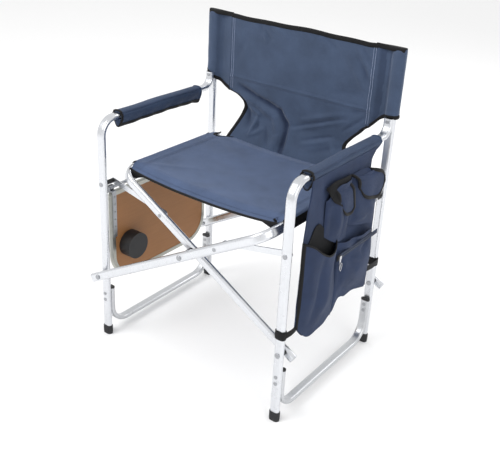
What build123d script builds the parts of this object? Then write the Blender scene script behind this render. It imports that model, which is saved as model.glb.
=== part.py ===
from build123d import *
import os
from math import atan2, degrees, sqrt

# Folding director chair with a side tray and a hanging organiser. Millimetres, +Z up.
# The chair faces -Y. Left and right are as seen by someone standing in front of it: left is -X
# and carries the tray, right is +X and carries the organiser.

# ---- driving dimensions ----
HEIGHT = 851.0
LEG_X = 289.0
LEG_Y = 221.0
TUBE_W = 25.0
TUBE_T = 15.0
WALL = 1.5
ARM_Z = 633.0
PIVOT_Z = 194.0
CROSS_Z = 360.0
FRONT_OFFSET = 24.0
SEAT_RAIL_REACH = 282.0
STAY_REACH = 124.0
STAY_LEG_Z = 459.4
RUN_GAP = 0.3
PIN_GAP = 0.05

# ---- legs, arms and lower rails ----
FOOT_FLOOR = 4.0
POST_TOP = 849.0
ARM_FRONT_BEND = 43.0
ARM_REAR_BEND = 30.0
ARM_END_Y = LEG_Y - TUBE_T
ARM_END_Z = 676.0
LOW_RAIL_T = 13.0
LOW_RAIL_Z = 24.5
LOW_RAIL_TOP = 143.0
LOW_RAIL_BEND = 55.0
LOW_RAIL_Y = LEG_Y - TUBE_T / 2 - LOW_RAIL_T / 2
LOW_RIVET_Z = (112.0, 131.0)
FOOT_H = 26.0
FOOT_GROW = 2.6
FOOT_RIB_GROW = 3.8
FOOT_RIB_Z = 6.0
FOOT_RIB_STEP = 5.0
FOOT_RIB_H = 2.0
FOOT_RIBS = 4
PLUG_H = 4.0
PLUG_STEM = 8.0
PLUG_GROW = 1.0
SNUG = 0.2

# ---- pins and rivets ----
PIN_R = 4.0
PIN_HEAD_R = 7.0
PIN_HEAD_H = 2.7
STAY_PIN_R = 3.0
STAY_HEAD_R = 6.0
STAY_HEAD_H = 2.0
SPACER_R = 9.0
STAY_SPACER_R = 6.0
RIVET_R = 2.5
RIVET_HEAD_R = 5.0
RIVET_HEAD_H = 1.6
LOW_HEAD_H = 1.2
THIN_HEAD_H = 0.9
TUBE_RIVET_HEAD_H = 1.5
ARM_RIVET_Z = ARM_END_Z - 8.0

# ---- seat scissor ----
LEG_FACE = LEG_Y + TUBE_T / 2
LEG_INNER = LEG_Y - TUBE_T / 2
OUTER_Y = LEG_Y + FRONT_OFFSET
INNER_Y = LEG_Y - FRONT_OFFSET
RISE = CROSS_Z - PIVOT_Z
HALF_LEG = sqrt(LEG_X**2 + RISE**2)
TUBE_REACH = HALF_LEG + SEAT_RAIL_REACH
DIR_X = LEG_X / HALF_LEG
DIR_Z = RISE / HALF_LEG
SEAT_BEND = 45.0
TAIL = 30.0
SLANT_SLACK = 0.8
SLANT_SEAT = 0.6
RAIL_X = SEAT_RAIL_REACH * DIR_X
RAIL_Z = CROSS_Z + SEAT_RAIL_REACH * DIR_Z
STAY_X = STAY_REACH * DIR_X
STAY_Z = CROSS_Z + STAY_REACH * DIR_Z
REAR_SLANT = (OUTER_Y - INNER_Y) / TUBE_REACH

# ---- stay links: distance of each flat bar from the middle of the chair ----
STAY_T = 3.0
STAY_W = 15.0
STAY_Y_DEEP = 183.0
STAY_Y_REAR = 184.0
STAY_Y_NEAR = 208.0
END_GAP = 2.5
STAND_OFF_R = 7.0

# ---- seat and back fabric ----
SEAT_Y = 172.0
SEAT_CORNER_Y = 148.0
SEAT_UNDER = 505.0
FABRIC_T = 4.0
SEAT_EDGE_X = RAIL_X - 15.5
SEAT_NOTCH = 7.0
SEAT_SPLIT_X = 46.5
BACK_EDGE_X = LEG_X - 15.5
BACK_SPLIT_X = 45.0
BACK_TOP = 845.0
BACK_FOLD_Z = 560.0
BACK_SLEEVE_Z = 679.0
BACK_LOW_Z = 494.0
BACK_LOW_Y = 188.0
BACK_CUT_OUT = [(252.0, 645.0), (182.0, 616.0)]
BACK_WAIST_X = 172.0
BACK_LOW_X = 197.0
SLEEVE_W = 30.0
SLEEVE_T = 20.0
SLEEVE_FIT = 0.4
RAIL_SLEEVE_T = 1.5

# ---- arm pads ----
PAD_HALF_W = 17.0
PAD_BOTTOM = 600.0
PAD_TOP = 645.0
PAD_FRONT = -165.0
PAD_REAR = 150.0
PAD_CORNER = 10.0

# ---- tray ----
HINGE_Z = 442.0
HINGE_R = 5.0
HINGE_BLOCK_Y = 7.0
HINGE_BLOCK_HALF = 9.0
HINGE_BLOCK_CORNER = 3.0
EYE_WALL = 3.0
TRAY_FRONT = -205.0
TRAY_REAR = 178.0
TRAY_LOW = 164.0
TRAY_HIGH = 432.0
TRAY_CORNER = 75.0
TRAY_TOP_CORNER = 12.0
TRAY_INNER_X = -276.0
TRAY_T = 13.0
EDGING = 11.0
BOARD_T = 11.0
STRAP_T = 2.0
STRAP_W = 13.0
STRAP_LOW = 300.0
STRAP_LOW_REAR = 372.0
STRAP_END_GAP = 2.0
STRAP_HOLE_STEP = 22.0
STRAP_HOLE_R = 2.5
STRAP_HOLE_START = 10.0
BOARD_SET_BACK = 1.0
CUP_Y = -144.0
CUP_Z = 264.0
CUP_R = 37.0
CUP_WALL = 2.0
CUP_DEPTH = 44.5
CUP_FLANGE_R = 42.0
CUP_FLANGE_T = 1.5

# ---- organiser ----
PANEL_X = LEG_X + PAD_HALF_W
PANEL_T = 2.5
CLOTH = 2.0
POCKET_CORNER = 7.0
BOTTLE = (-184.0, -84.0, 238.0, 516.0)
BOTTLE_OUT = 329.0
SMALL = (-78.0, -12.0, 440.0, 584.0)
SMALL_OUT = 325.0
LARGE = (0.0, 132.0, 436.0, 590.0)
LARGE_OUT = 327.0
FLAP_SIDE = 4.0
FLAP_RISE = 6.0
FLAP_CORNER = 30.0
SMALL_FLAP_OUT = 328.0
SMALL_FLAP_DROP = 78.0
LARGE_FLAP_OUT = 330.0
LARGE_FLAP_DROP = 82.0
ZIP_POCKET = (-62.0, 146.0, 246.0, 424.0)
ZIP_POCKET_OUT = 326.0
ZIP_POCKET_CORNER = 8.0
ZIP_Z = 396.0
ZIP_TRACK_T = 1.2
ZIP_TRACK_HALF = 3.0
ZIP_TRACK_INSET = 8.0
ZIP_TRAVEL_START = -44.0
SLIDER_T = 2.4
SLIDER_HALF = 5.0
PULL_LENGTH = 27.0
PULL_HALF = 3.5
PULL_EDGE = 1.7
STRAP_BAND_T = 1.5
STRAP_BAND_H = 20.0
STRAP_BAND_FIT = 0.6
STRAP_TAIL_END = 8.0
FRONT_STRAP_Z = 250.0
FRONT_STRAP_EDGE = -190.0
REAR_STRAP_Z = 264.0

# outline (y, z) of the organiser's panel, from the top corner at the chair's front
PANEL_OUTLINE = [
    (PAD_FRONT, 640.0),
    (PAD_REAR, 640.0),
    (PAD_REAR, 214.0),
    (60.0, 224.0),
    (-38.0, 246.0),
    (-38.0, 232.0),
    (-156.0, 220.0),
    (-192.0, 262.0),
    (-186.0, 480.0),
]


def slot(width, thickness):
    """Flat-oval section, width along its local X."""
    return SlotOverall(width, thickness)


def bent_tube(points, radii, wide, width=TUBE_W, thickness=TUBE_T):
    """Hollow flat-oval tube along a filleted path. wide is the direction of its wide side."""
    path = FilletPolyline(*points, radius=radii) if radii else Polyline(*points)
    heading = Vector(*points[1]) - Vector(*points[0])
    start = Plane(origin=points[0], x_dir=wide, z_dir=heading)
    outer = sweep(start * slot(width, thickness), path=path)
    inner = sweep(start * slot(width - 2 * WALL, thickness - 2 * WALL), path=path)
    return outer - inner


def rod_y(x, z, y0, y1, radius):
    """Solid cylinder along Y from y0 to y1."""
    return Pos(x, (y0 + y1) / 2, z) * Rot(90, 0, 0) * Cylinder(radius, abs(y1 - y0))


def ring_y(x, z, y0, y1, radius, hole):
    """Washer or spacer along Y."""
    return rod_y(x, z, y0, y1, radius) - rod_y(x, z, y0 - 1, y1 + 1, hole)


def pin_y(x, z, y0, y1, radius, head_r, head_h):
    """Pin along Y whose shank spans y0 to y1, with a domed head outside each end."""
    pin = rod_y(x, z, y0 - head_h, y1 + head_h, radius)
    for face, way in ((y0, -1), (y1, 1)):
        head = rod_y(x, z, face, face + way * head_h, head_r)
        rim = head.edges().sort_by(Axis.Y)[0 if way < 0 else -1]
        pin += fillet(rim, head_h * 0.6)
    return pin


def box(x0, x1, y0, y1, z0, z1):
    """Box between two corners."""
    centre = Pos((x0 + x1) / 2, (y0 + y1) / 2, (z0 + z1) / 2)
    return centre * Box(abs(x1 - x0), abs(y1 - y0), abs(z1 - z0))


def side_face(outline, x0, x1):
    """Solid from a (y, z) outline, between x0 and x1."""
    face = make_face(Polyline(*[(x0, y, z) for y, z in outline], close=True))
    return extrude(face, amount=x1 - x0, dir=(1, 0, 0))


def front_face(outline, y0, y1):
    """Solid from an (x, z) outline, between y0 and y1."""
    face = make_face(Polyline(*[(x, y0, z) for x, z in outline], close=True))
    return extrude(face, amount=y1 - y0, dir=(0, 1, 0))


def save(name, *shapes):
    """One STEP file for one node, its solids kept separate."""
    solids = [s for shape in shapes for s in shape.solids()]
    whole = solids[0] if len(solids) == 1 else Compound(children=solids)
    export_step(whole, f"parts/{name}.step")


# ---- side frames ----

def arm_tube(x):
    """Front leg, arm and the short turned-up end that lies on the rear post."""
    points = [
        (x, -LEG_Y, FOOT_FLOOR),
        (x, -LEG_Y, ARM_Z),
        (x, ARM_END_Y, ARM_Z),
        (x, ARM_END_Y, ARM_END_Z),
    ]
    tube = bent_tube(points, [ARM_FRONT_BEND, ARM_REAR_BEND], (1, 0, 0))
    for z in LOW_RIVET_Z:
        tube -= rod_y(x, z, -LEG_FACE - 1, -LEG_INNER + 1, RIVET_R)
    tube -= rod_y(x, PIVOT_Z, -LEG_FACE - 1, -LEG_INNER + 1, PIN_R + PIN_GAP)
    tube -= rod_y(x, STAY_LEG_Z, -LEG_FACE - 1, -LEG_INNER + 1, STAY_PIN_R + PIN_GAP)
    return tube - rod_y(x, ARM_RIVET_Z, LEG_INNER - TUBE_T - 1, LEG_INNER + 1, RIVET_R)


def rear_post(x):
    """Straight rear leg that runs on up into the back."""
    tube = bent_tube([(x, LEG_Y, FOOT_FLOOR), (x, LEG_Y, POST_TOP)], None, (1, 0, 0))
    for z in (*LOW_RIVET_Z, ARM_RIVET_Z):
        tube -= rod_y(x, z, LEG_INNER - 1, LEG_FACE + 1, RIVET_R)
    tube -= rod_y(x, PIVOT_Z, LEG_INNER - 1, LEG_FACE + 1, PIN_R + PIN_GAP)
    tube -= rod_y(x, STAY_LEG_Z, LEG_INNER - 1, LEG_FACE + 1, STAY_PIN_R + PIN_GAP)
    return tube


def lower_rail(x):
    """U-shaped rail between the feet of one side, riveted inside both legs."""
    points = [
        (x, -LOW_RAIL_Y, LOW_RAIL_TOP),
        (x, -LOW_RAIL_Y, LOW_RAIL_Z),
        (x, LOW_RAIL_Y, LOW_RAIL_Z),
        (x, LOW_RAIL_Y, LOW_RAIL_TOP),
    ]
    bends = [LOW_RAIL_BEND, LOW_RAIL_BEND]
    tube = bent_tube(points, bends, (1, 0, 0), TUBE_W, LOW_RAIL_T)
    for z in LOW_RIVET_Z:
        for way in (-1, 1):
            y = way * LOW_RAIL_Y
            tube -= rod_y(x, z, y - LOW_RAIL_T, y + LOW_RAIL_T, RIVET_R)
    return tube


def foot_cap(x, y):
    """Ribbed boot on the end of a leg."""
    cap = Pos(x, y, 0) * extrude(slot(TUBE_W + FOOT_GROW, TUBE_T + FOOT_GROW), FOOT_H)
    rib = extrude(slot(TUBE_W + FOOT_RIB_GROW, TUBE_T + FOOT_RIB_GROW), FOOT_RIB_H)
    for step in range(FOOT_RIBS):
        cap += Pos(x, y, FOOT_RIB_Z + FOOT_RIB_STEP * step) * rib
    cavity = extrude(slot(TUBE_W + SNUG, TUBE_T + SNUG), FOOT_H)
    return cap - Pos(x, y, FOOT_FLOOR) * cavity


def rail_plug(x, y):
    """Plug in the open top of a lower rail."""
    cap = Pos(x, y, LOW_RAIL_TOP) * extrude(slot(TUBE_W + PLUG_GROW, LOW_RAIL_T), PLUG_H)
    bore = 2 * WALL + SNUG
    stem = extrude(slot(TUBE_W - bore, LOW_RAIL_T - bore), PLUG_STEM)
    return cap + Pos(x, y, LOW_RAIL_TOP - PLUG_STEM) * stem


def frame_rivets(x):
    """Rivets of one side: two through each end of the lower rail, one at the arm's end."""
    inner = LEG_INNER - LOW_RAIL_T
    spans = []
    for z in LOW_RIVET_Z:
        spans.append((z, -LEG_FACE, -inner))
        spans.append((z, inner, LEG_FACE))
    spans.append((ARM_RIVET_Z, LEG_INNER - TUBE_T, LEG_FACE))
    return [pin_y(x, z, y0, y1, RIVET_R, RIVET_HEAD_R, RIVET_HEAD_H) for z, y0, y1 in spans]


def arm_pad(x):
    """Padded sleeve round the arm, deeper below than above."""
    section = Plane.XZ.offset(-PAD_FRONT) * Pos(x, (PAD_TOP + PAD_BOTTOM) / 2)
    shape = section * RectangleRounded(2 * PAD_HALF_W, PAD_TOP - PAD_BOTTOM, PAD_CORNER)
    pad = extrude(shape, amount=-(PAD_REAR - PAD_FRONT))
    bore = slot(TUBE_W + SLEEVE_FIT, TUBE_T + SLEEVE_FIT)
    hole = Plane.XZ.offset(-PAD_FRONT) * Pos(x, ARM_Z) * bore
    return pad - extrude(hole, amount=-(PAD_REAR - PAD_FRONT))


def back_sleeve(x):
    """Fabric sleeve over the top of a rear post, closed at its top."""
    length = HEIGHT - BACK_SLEEVE_Z
    sleeve = Pos(x, LEG_Y, BACK_SLEEVE_Z) * extrude(slot(SLEEVE_W, SLEEVE_T), length)
    depth = POST_TOP + SNUG - BACK_SLEEVE_Z
    room = extrude(slot(TUBE_W + SLEEVE_FIT, TUBE_T + SLEEVE_FIT), depth)
    return sleeve - Pos(x, LEG_Y, BACK_SLEEVE_Z) * room


def side_frame(name, side):
    """Everything riveted to one side frame, apart from tray and organiser."""
    x = side * LEG_X
    save(f"{name}_arm_tube", arm_tube(x))
    save(f"{name}_rear_post", rear_post(x))
    save(f"{name}_lower_rail", lower_rail(x))
    save(f"{name}_foot_caps", foot_cap(x, -LEG_Y), foot_cap(x, LEG_Y))
    save(f"{name}_rail_plugs", rail_plug(x, -LOW_RAIL_Y), rail_plug(x, LOW_RAIL_Y))
    save(f"{name}_frame_rivets", *frame_rivets(x))
    save(f"{name}_arm_pad", arm_pad(x))
    save(f"{name}_back_sleeve", back_sleeve(x))


# ---- scissor ----

def seat_tube(side):
    """U-shaped seat tube. side is the side its rail lies on; it is pivoted on the other side."""
    outer = side > 0
    front = -OUTER_Y if outer else -INNER_Y
    rear_top = INNER_Y
    rear_low = INNER_Y if outer else OUTER_Y + REAR_SLANT * TAIL
    foot_x = -side * (LEG_X + TAIL * DIR_X)
    foot_z = PIVOT_Z - TAIL * DIR_Z
    points = [
        (foot_x, front, foot_z),
        (side * RAIL_X, front, RAIL_Z),
        (side * RAIL_X, rear_top, RAIL_Z),
        (foot_x, rear_low, foot_z),
    ]
    wide = (-side * DIR_Z, 0, DIR_X)
    tube = bent_tube(points, [SEAT_BEND, SEAT_BEND], wide)
    reach = OUTER_Y + TUBE_T
    tube -= rod_y(-side * LEG_X, PIVOT_Z, -reach, reach, PIN_R + PIN_GAP)
    tube -= rod_y(0, CROSS_Z, -reach, reach, PIN_R + PIN_GAP)
    tube -= rod_y(side * STAY_X, STAY_Z, -reach, reach, RIVET_R)
    return tube


def slanted_y(reach):
    """Middle of the left seat tube's rear bar, at a distance along it from its lower pivot."""
    return OUTER_Y - REAR_SLANT * reach


def lower_pivots():
    """Pins and spacers that carry the seat tubes on the legs."""
    half = TUBE_T / 2
    slack = SLANT_SLACK + RUN_GAP
    spans = {
        "left": [
            (-OUTER_Y - half - RUN_GAP, -LEG_INNER, -OUTER_Y + half + RUN_GAP, -LEG_FACE),
            (INNER_Y - half - RUN_GAP, LEG_FACE, INNER_Y + half + RUN_GAP, LEG_INNER),
        ],
        "right": [
            (-LEG_FACE, -INNER_Y + half + RUN_GAP, -LEG_INNER, -INNER_Y - half - RUN_GAP),
            (LEG_INNER, OUTER_Y + half + slack, LEG_FACE, OUTER_Y - half - slack),
        ],
    }
    washers = {"left": [], "right": []}
    for name, side in (("left", -1), ("right", 1)):
        x = side * LEG_X
        pins = []
        for y0, y1, s0, s1 in spans[name]:
            head_h = PIN_HEAD_H if y1 < OUTER_Y else PIN_HEAD_H - SLANT_SLACK
            pins.append(pin_y(x, PIVOT_Z, y0, y1, PIN_R, PIN_HEAD_R, head_h))
            span = (min(s0, s1), max(s0, s1))
            washers[name].append(ring_y(x, PIVOT_Z, *span, SPACER_R, PIN_R + PIN_GAP))
        save(f"{name}_pivot_pins", *pins)
    return washers


def cross_pivots():
    """Pins and long spacers where the two seat tubes cross."""
    half = TUBE_T / 2
    slack = SLANT_SLACK + RUN_GAP
    rear = slanted_y(HALF_LEG)
    front_pin = (-OUTER_Y - half, -INNER_Y + half + RUN_GAP)
    rear_pin = (INNER_Y - half, rear + half + slack)
    pins = [
        pin_y(0, CROSS_Z, y0, y1, PIN_R, PIN_HEAD_R, PIN_HEAD_H)
        for y0, y1 in (front_pin, rear_pin)
    ]
    front_gap = (-OUTER_Y + half, -INNER_Y - half - RUN_GAP)
    rear_gap = (INNER_Y + half, rear - half - slack)
    washers = [
        ring_y(0, CROSS_Z, y0, y1, SPACER_R, PIN_R + PIN_GAP)
        for y0, y1 in (front_gap, rear_gap)
    ]
    save("cross_pins", *pins)
    save("cross_spacers", *washers)


def stay_link(side, y0):
    """Flat bar from a leg to the seat tube that carries the rail on the same side."""
    leg = Vector(side * LEG_X, 0, STAY_LEG_Z)
    end = Vector(side * STAY_X, 0, STAY_Z)
    run = end - leg
    middle = (leg + end) * 0.5
    tilt = degrees(atan2(-run.Z, run.X))
    bar = extrude(SlotCenterToCenter(run.length, STAY_W), STAY_T / 2, both=True)
    bar = Pos(middle.X, y0 + STAY_T / 2, middle.Z) * Rot(0, tilt, 0) * Rot(90, 0, 0) * bar
    bar -= rod_y(leg.X, leg.Z, y0 - 1, y0 + STAY_T + 1, STAY_PIN_R + PIN_GAP)
    return bar - rod_y(end.X, end.Z, y0 - 1, y0 + STAY_T + 1, RIVET_R)


def stays(pivot_washers):
    """Links, their leg pins, all the spacers on the legs, and the rivets at the links' free ends."""
    half = TUBE_T / 2
    front_y = {"left": -STAY_Y_DEEP - STAY_T, "right": -STAY_Y_NEAR - STAY_T}
    for name, side in (("left", -1), ("right", 1)):
        x = side * LEG_X
        front = front_y[name]
        rear = STAY_Y_REAR
        save(f"{name}_stays", stay_link(side, front), stay_link(side, rear))
        pins = [
            (-LEG_FACE, front + STAY_T + RUN_GAP),
            (rear - RUN_GAP, LEG_FACE),
        ]
        gaps = [(-LEG_INNER, front - RUN_GAP), (rear + STAY_T + RUN_GAP, LEG_INNER)]
        save(
            f"{name}_stay_pins",
            *[pin_y(x, STAY_LEG_Z, a, b, STAY_PIN_R, STAY_HEAD_R, STAY_HEAD_H) for a, b in pins],
        )
        stay_washers = [
            ring_y(x, STAY_LEG_Z, a, b, STAY_SPACER_R, STAY_PIN_R + PIN_GAP) for a, b in gaps
        ]
        save(f"{name}_leg_spacers", *pivot_washers[name], *stay_washers)
        end_x = side * STAY_X
        save(
            f"{name}_stay_end_rivets",
            pin_y(end_x, STAY_Z, front, front + STAY_T, RIVET_R, RIVET_HEAD_R, THIN_HEAD_H),
            pin_y(end_x, STAY_Z, rear, rear + STAY_T, RIVET_R, RIVET_HEAD_R, THIN_HEAD_H),
        )
    rear_left = slanted_y(HALF_LEG + STAY_REACH)
    deep = STAY_Y_REAR + STAY_T + END_GAP
    near = -STAY_Y_NEAR - STAY_T - END_GAP
    rear_face = rear_left + half + SLANT_SEAT
    size = (RIVET_R, RIVET_HEAD_R)
    save(
        "left_tube_rivets",
        pin_y(-STAY_X, STAY_Z, -INNER_Y - half, -INNER_Y + half, *size, TUBE_RIVET_HEAD_H),
        pin_y(-STAY_X, STAY_Z, deep, rear_face, *size, LOW_HEAD_H),
    )
    save(
        "right_tube_rivets",
        pin_y(STAY_X, STAY_Z, -OUTER_Y - half, near, *size, LOW_HEAD_H),
        pin_y(STAY_X, STAY_Z, INNER_Y - half, INNER_Y + half, *size, LOW_HEAD_H),
    )
    bore = RIVET_R + PIN_GAP
    stop = rear_left - half - SLANT_SEAT
    save("right_stand_off", ring_y(STAY_X, STAY_Z, -OUTER_Y + half, near, STAND_OFF_R, bore))
    save("left_stand_off", ring_y(-STAY_X, STAY_Z, deep, stop, STAND_OFF_R, bore))


# ---- seat and back fabric ----

def rail_sleeve(side, front, rear):
    """Fabric loop of the seat round the straight part of a seat rail."""
    wide = (-side * DIR_Z, 0, DIR_X)
    start = Plane(origin=(side * RAIL_X, front, RAIL_Z), x_dir=wide, z_dir=(0, 1, 0))
    grown = 2 * RAIL_SLEEVE_T + SLEEVE_FIT
    outer = extrude(start * slot(TUBE_W + grown, TUBE_T + grown), rear - front)
    inner = extrude(start * slot(TUBE_W + SLEEVE_FIT, TUBE_T + SLEEVE_FIT), rear - front)
    return outer - inner


def seat_panel(side):
    """Half of the seat sling, notched at the corners where the seat tube bends."""
    top = SEAT_UNDER + FABRIC_T
    panel = box(side * SEAT_SPLIT_X, side * SEAT_EDGE_X, -SEAT_Y, SEAT_Y, SEAT_UNDER, top)
    notch = (side * (SEAT_EDGE_X - SEAT_NOTCH), side * (SEAT_EDGE_X + 1))
    for way in (-1, 1):
        edge = (way * SEAT_CORNER_Y, way * (SEAT_Y + 1))
        panel -= box(*notch, *edge, SEAT_UNDER - 1, top + 1)
    return panel


def back_panel(side):
    """Half of the back, cut away below the sleeve."""
    outline = [
        (BACK_SPLIT_X, BACK_TOP),
        (BACK_EDGE_X, BACK_TOP),
        (BACK_EDGE_X, BACK_SLEEVE_Z),
        *BACK_CUT_OUT,
        (BACK_WAIST_X, BACK_FOLD_Z),
        (BACK_SPLIT_X, BACK_FOLD_Z),
    ]
    mirrored = [(side * x, z) for x, z in outline]
    return front_face(mirrored, LEG_Y - FABRIC_T / 2, LEG_Y + FABRIC_T / 2)


def back_lower():
    """Lowest part of the back, which slopes forward to the rear edge of the seat."""
    top_y = LEG_Y - FABRIC_T / 2
    profile = [
        (top_y, BACK_FOLD_Z - RUN_GAP),
        (top_y + FABRIC_T, BACK_FOLD_Z - RUN_GAP),
        (BACK_LOW_Y + FABRIC_T, BACK_LOW_Z),
        (BACK_LOW_Y, BACK_LOW_Z),
    ]
    slab = side_face(profile, 1 - BACK_LOW_X, BACK_LOW_X - 1)
    for side in (-1, 1):
        waist = side * BACK_WAIST_X
        low = side * BACK_LOW_X
        outline = [(waist, BACK_FOLD_Z), (low, BACK_LOW_Z), (low, BACK_FOLD_Z)]
        slab -= front_face(outline, BACK_LOW_Y - 1, LEG_Y + FABRIC_T)
    return slab


def fabric():
    """Sling seat and back. The narrow middle strips crumple as the chair folds."""
    save("left_rail_sleeve", rail_sleeve(-1, -SEAT_CORNER_Y, SEAT_CORNER_Y))
    save("right_rail_sleeve", rail_sleeve(1, -SEAT_Y, SEAT_CORNER_Y))
    strip = SEAT_SPLIT_X - RUN_GAP
    save("seat_centre", box(-strip, strip, -SEAT_Y, SEAT_Y, SEAT_UNDER, SEAT_UNDER + FABRIC_T))
    strip = BACK_SPLIT_X - RUN_GAP
    back = (LEG_Y - FABRIC_T / 2, LEG_Y + FABRIC_T / 2)
    save("back_centre", box(-strip, strip, *back, BACK_FOLD_Z, BACK_TOP))
    save("back_lower", back_lower())
    for name, side in (("left", -1), ("right", 1)):
        save(f"{name}_seat_panel", seat_panel(side))
        save(f"{name}_back_panel", back_panel(side))


# ---- tray ----

def tray_outline(inset):
    """Outline of the stowed tray in the YZ plane, with large lower corners."""
    y0 = TRAY_FRONT + inset
    y1 = TRAY_REAR - inset
    z0 = TRAY_LOW + inset
    z1 = TRAY_HIGH - inset
    corners = [(0, y0, z0), (0, y1, z0), (0, y1, z1), (0, y0, z1)]
    low = TRAY_CORNER - inset
    high = max(TRAY_TOP_CORNER - inset, 1.0)
    path = FilletPolyline(*corners, radius=[low, low, high, high], close=True)
    return make_face(path)


def tray_edging():
    """Aluminium frame round the board."""
    ring = tray_outline(0) - tray_outline(EDGING)
    return Pos(TRAY_INNER_X - TRAY_T, 0, 0) * extrude(ring, amount=TRAY_T, dir=(1, 0, 0))


def rod_x(x0, x1, y, z, radius):
    """Solid cylinder along X from x0 to x1."""
    return Pos((x0 + x1) / 2, y, z) * Rot(0, 90, 0) * Cylinder(radius, abs(x1 - x0))


def tray_board():
    """Board inside the edging, with the stepped hole for the cup holder and its rim."""
    start = TRAY_INNER_X - TRAY_T + BOARD_SET_BACK
    board = Pos(start, 0, 0) * extrude(tray_outline(EDGING), amount=BOARD_T, dir=(1, 0, 0))
    board -= rod_x(start - 1, start + CUP_FLANGE_T, CUP_Y, CUP_Z, CUP_FLANGE_R)
    return board - rod_x(start - 1, start + BOARD_T + 1, CUP_Y, CUP_Z, CUP_R)


def cup_holder():
    """Cup that hangs through the board, its rim flush with the tray's upper face."""
    mouth = TRAY_INNER_X - TRAY_T + BOARD_SET_BACK
    floor = mouth + CUP_DEPTH
    cup = rod_x(mouth, floor + CUP_WALL, CUP_Y, CUP_Z, CUP_R)
    cup += rod_x(mouth, mouth + CUP_FLANGE_T, CUP_Y, CUP_Z, CUP_FLANGE_R)
    return cup - rod_x(mouth - 1, floor, CUP_Y, CUP_Z, CUP_R - CUP_WALL)


def hinge_strap(y0, low):
    """Perforated strap on the tray's edge with an eye round the hinge rail."""
    x = -LEG_X
    plate_x = TRAY_INNER_X
    y1 = y0 + STRAP_W
    top = HINGE_Z - HINGE_R - 1
    eye = rod_y(x, HINGE_Z, y0, y1, HINGE_R + EYE_WALL)
    neck = box(x, plate_x + STRAP_T, y0, y1, TRAY_HIGH + SNUG, top)
    plate = box(plate_x, plate_x + STRAP_T, y0, y1, low, top)
    strap = eye + neck + plate
    strap -= rod_y(x, HINGE_Z, y0 - 1, y1 + 1, HINGE_R + PIN_GAP)
    holes = int((TRAY_HIGH - low) / STRAP_HOLE_STEP)
    for step in range(holes):
        z = low + STRAP_HOLE_START + step * STRAP_HOLE_STEP
        strap -= rod_x(plate_x - 1, plate_x + STRAP_T + 1, y0 + STRAP_W / 2, z, STRAP_HOLE_R)
    return strap


def tray():
    """Side tray, its hinge rail between the legs and the black blocks at the rail's ends."""
    x = -LEG_X
    save("tray_edging", tray_edging())
    save("tray_board", tray_board())
    save("cup_holder", cup_holder())
    save(
        "tray_hinge_straps",
        hinge_strap(TRAY_FRONT + STRAP_END_GAP, STRAP_LOW),
        hinge_strap(TRAY_REAR - STRAP_END_GAP - STRAP_W, STRAP_LOW_REAR),
    )
    save("tray_hinge_rail", rod_y(x, HINGE_Z, -LEG_INNER, LEG_INNER, HINGE_R))
    half = HINGE_BLOCK_HALF
    blocks = []
    for way in (-1, 1):
        y0 = way * LEG_INNER
        y1 = way * (LEG_INNER - HINGE_BLOCK_Y)
        block = box(x - half, x + half, y0, y1, HINGE_Z - half, HINGE_Z + half)
        block = fillet(block.edges().filter_by(Axis.Y), HINGE_BLOCK_CORNER)
        blocks.append(block - rod_y(x, HINGE_Z, y0 + way, y1 - way, HINGE_R + PIN_GAP))
    save("tray_hinge_blocks", *blocks)


# ---- organiser ----

def pocket(extent, out):
    """Open-topped fabric pocket on the panel's outer face: y0, y1, z0, z1."""
    y0, y1, z0, z1 = extent
    start = PANEL_X + PANEL_T
    shell = box(start, out, y0, y1, z0, z1)
    shell = fillet(shell.edges().filter_by(Axis.Z).sort_by(Axis.X)[-2:], POCKET_CORNER)
    room = box(start + CLOTH, out - CLOTH, y0 + CLOTH, y1 - CLOTH, z0 + CLOTH, z1 + 1)
    inner_corner = POCKET_CORNER - CLOTH
    return shell - fillet(room.edges().filter_by(Axis.Z).sort_by(Axis.X)[-2:], inner_corner)


def flap(extent, out, drop):
    """Flap over a pocket: a short top and a rounded front that hangs outside the pocket."""
    y0 = extent[0] - FLAP_SIDE
    y1 = extent[1] + FLAP_SIDE
    top = extent[3] + FLAP_RISE
    lid = box(PANEL_X + PANEL_T + RUN_GAP, out, y0, y1, top - CLOTH, top)
    front = box(out - CLOTH, out, y0, y1, top - drop, top)
    corners = front.edges().filter_by(Axis.X).sort_by(Axis.Z)[:2]
    return lid + fillet(corners, FLAP_CORNER)


def organiser():
    """Panel hanging from the pad, its pockets, flaps, zip and the webbing that ties it down."""
    save("organiser_panel", side_face(PANEL_OUTLINE, PANEL_X, PANEL_X + PANEL_T))
    save("bottle_pocket", pocket(BOTTLE, BOTTLE_OUT))
    save("small_pocket", pocket(SMALL, SMALL_OUT))
    save("large_pocket", pocket(LARGE, LARGE_OUT))
    save("small_flap", flap(SMALL, SMALL_FLAP_OUT, SMALL_FLAP_DROP))
    save("large_flap", flap(LARGE, LARGE_FLAP_OUT, LARGE_FLAP_DROP))
    zip_pocket()
    front = leg_strap(-LEG_Y, FRONT_STRAP_Z, FRONT_STRAP_EDGE)
    save("organiser_straps", front, leg_strap(LEG_Y, REAR_STRAP_Z, PAD_REAR))


def zip_pocket():
    """Closed pouch with a zip along its top."""
    y0, y1, z0, z1 = ZIP_POCKET
    pouch = box(PANEL_X + PANEL_T, ZIP_POCKET_OUT, y0, y1, z0, z1)
    corners = pouch.edges().filter_by(Axis.Z).sort_by(Axis.X)[-2:]
    save("zip_pocket", fillet(corners, ZIP_POCKET_CORNER))
    face = ZIP_POCKET_OUT + ZIP_TRACK_T
    span = (y0 + ZIP_TRACK_INSET, y1 - ZIP_TRACK_INSET)
    rows = (ZIP_Z - ZIP_TRACK_HALF, ZIP_Z + ZIP_TRACK_HALF)
    save("zip_track", box(ZIP_POCKET_OUT, face, *span, *rows))
    zip_slider(face + RUN_GAP)


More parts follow.
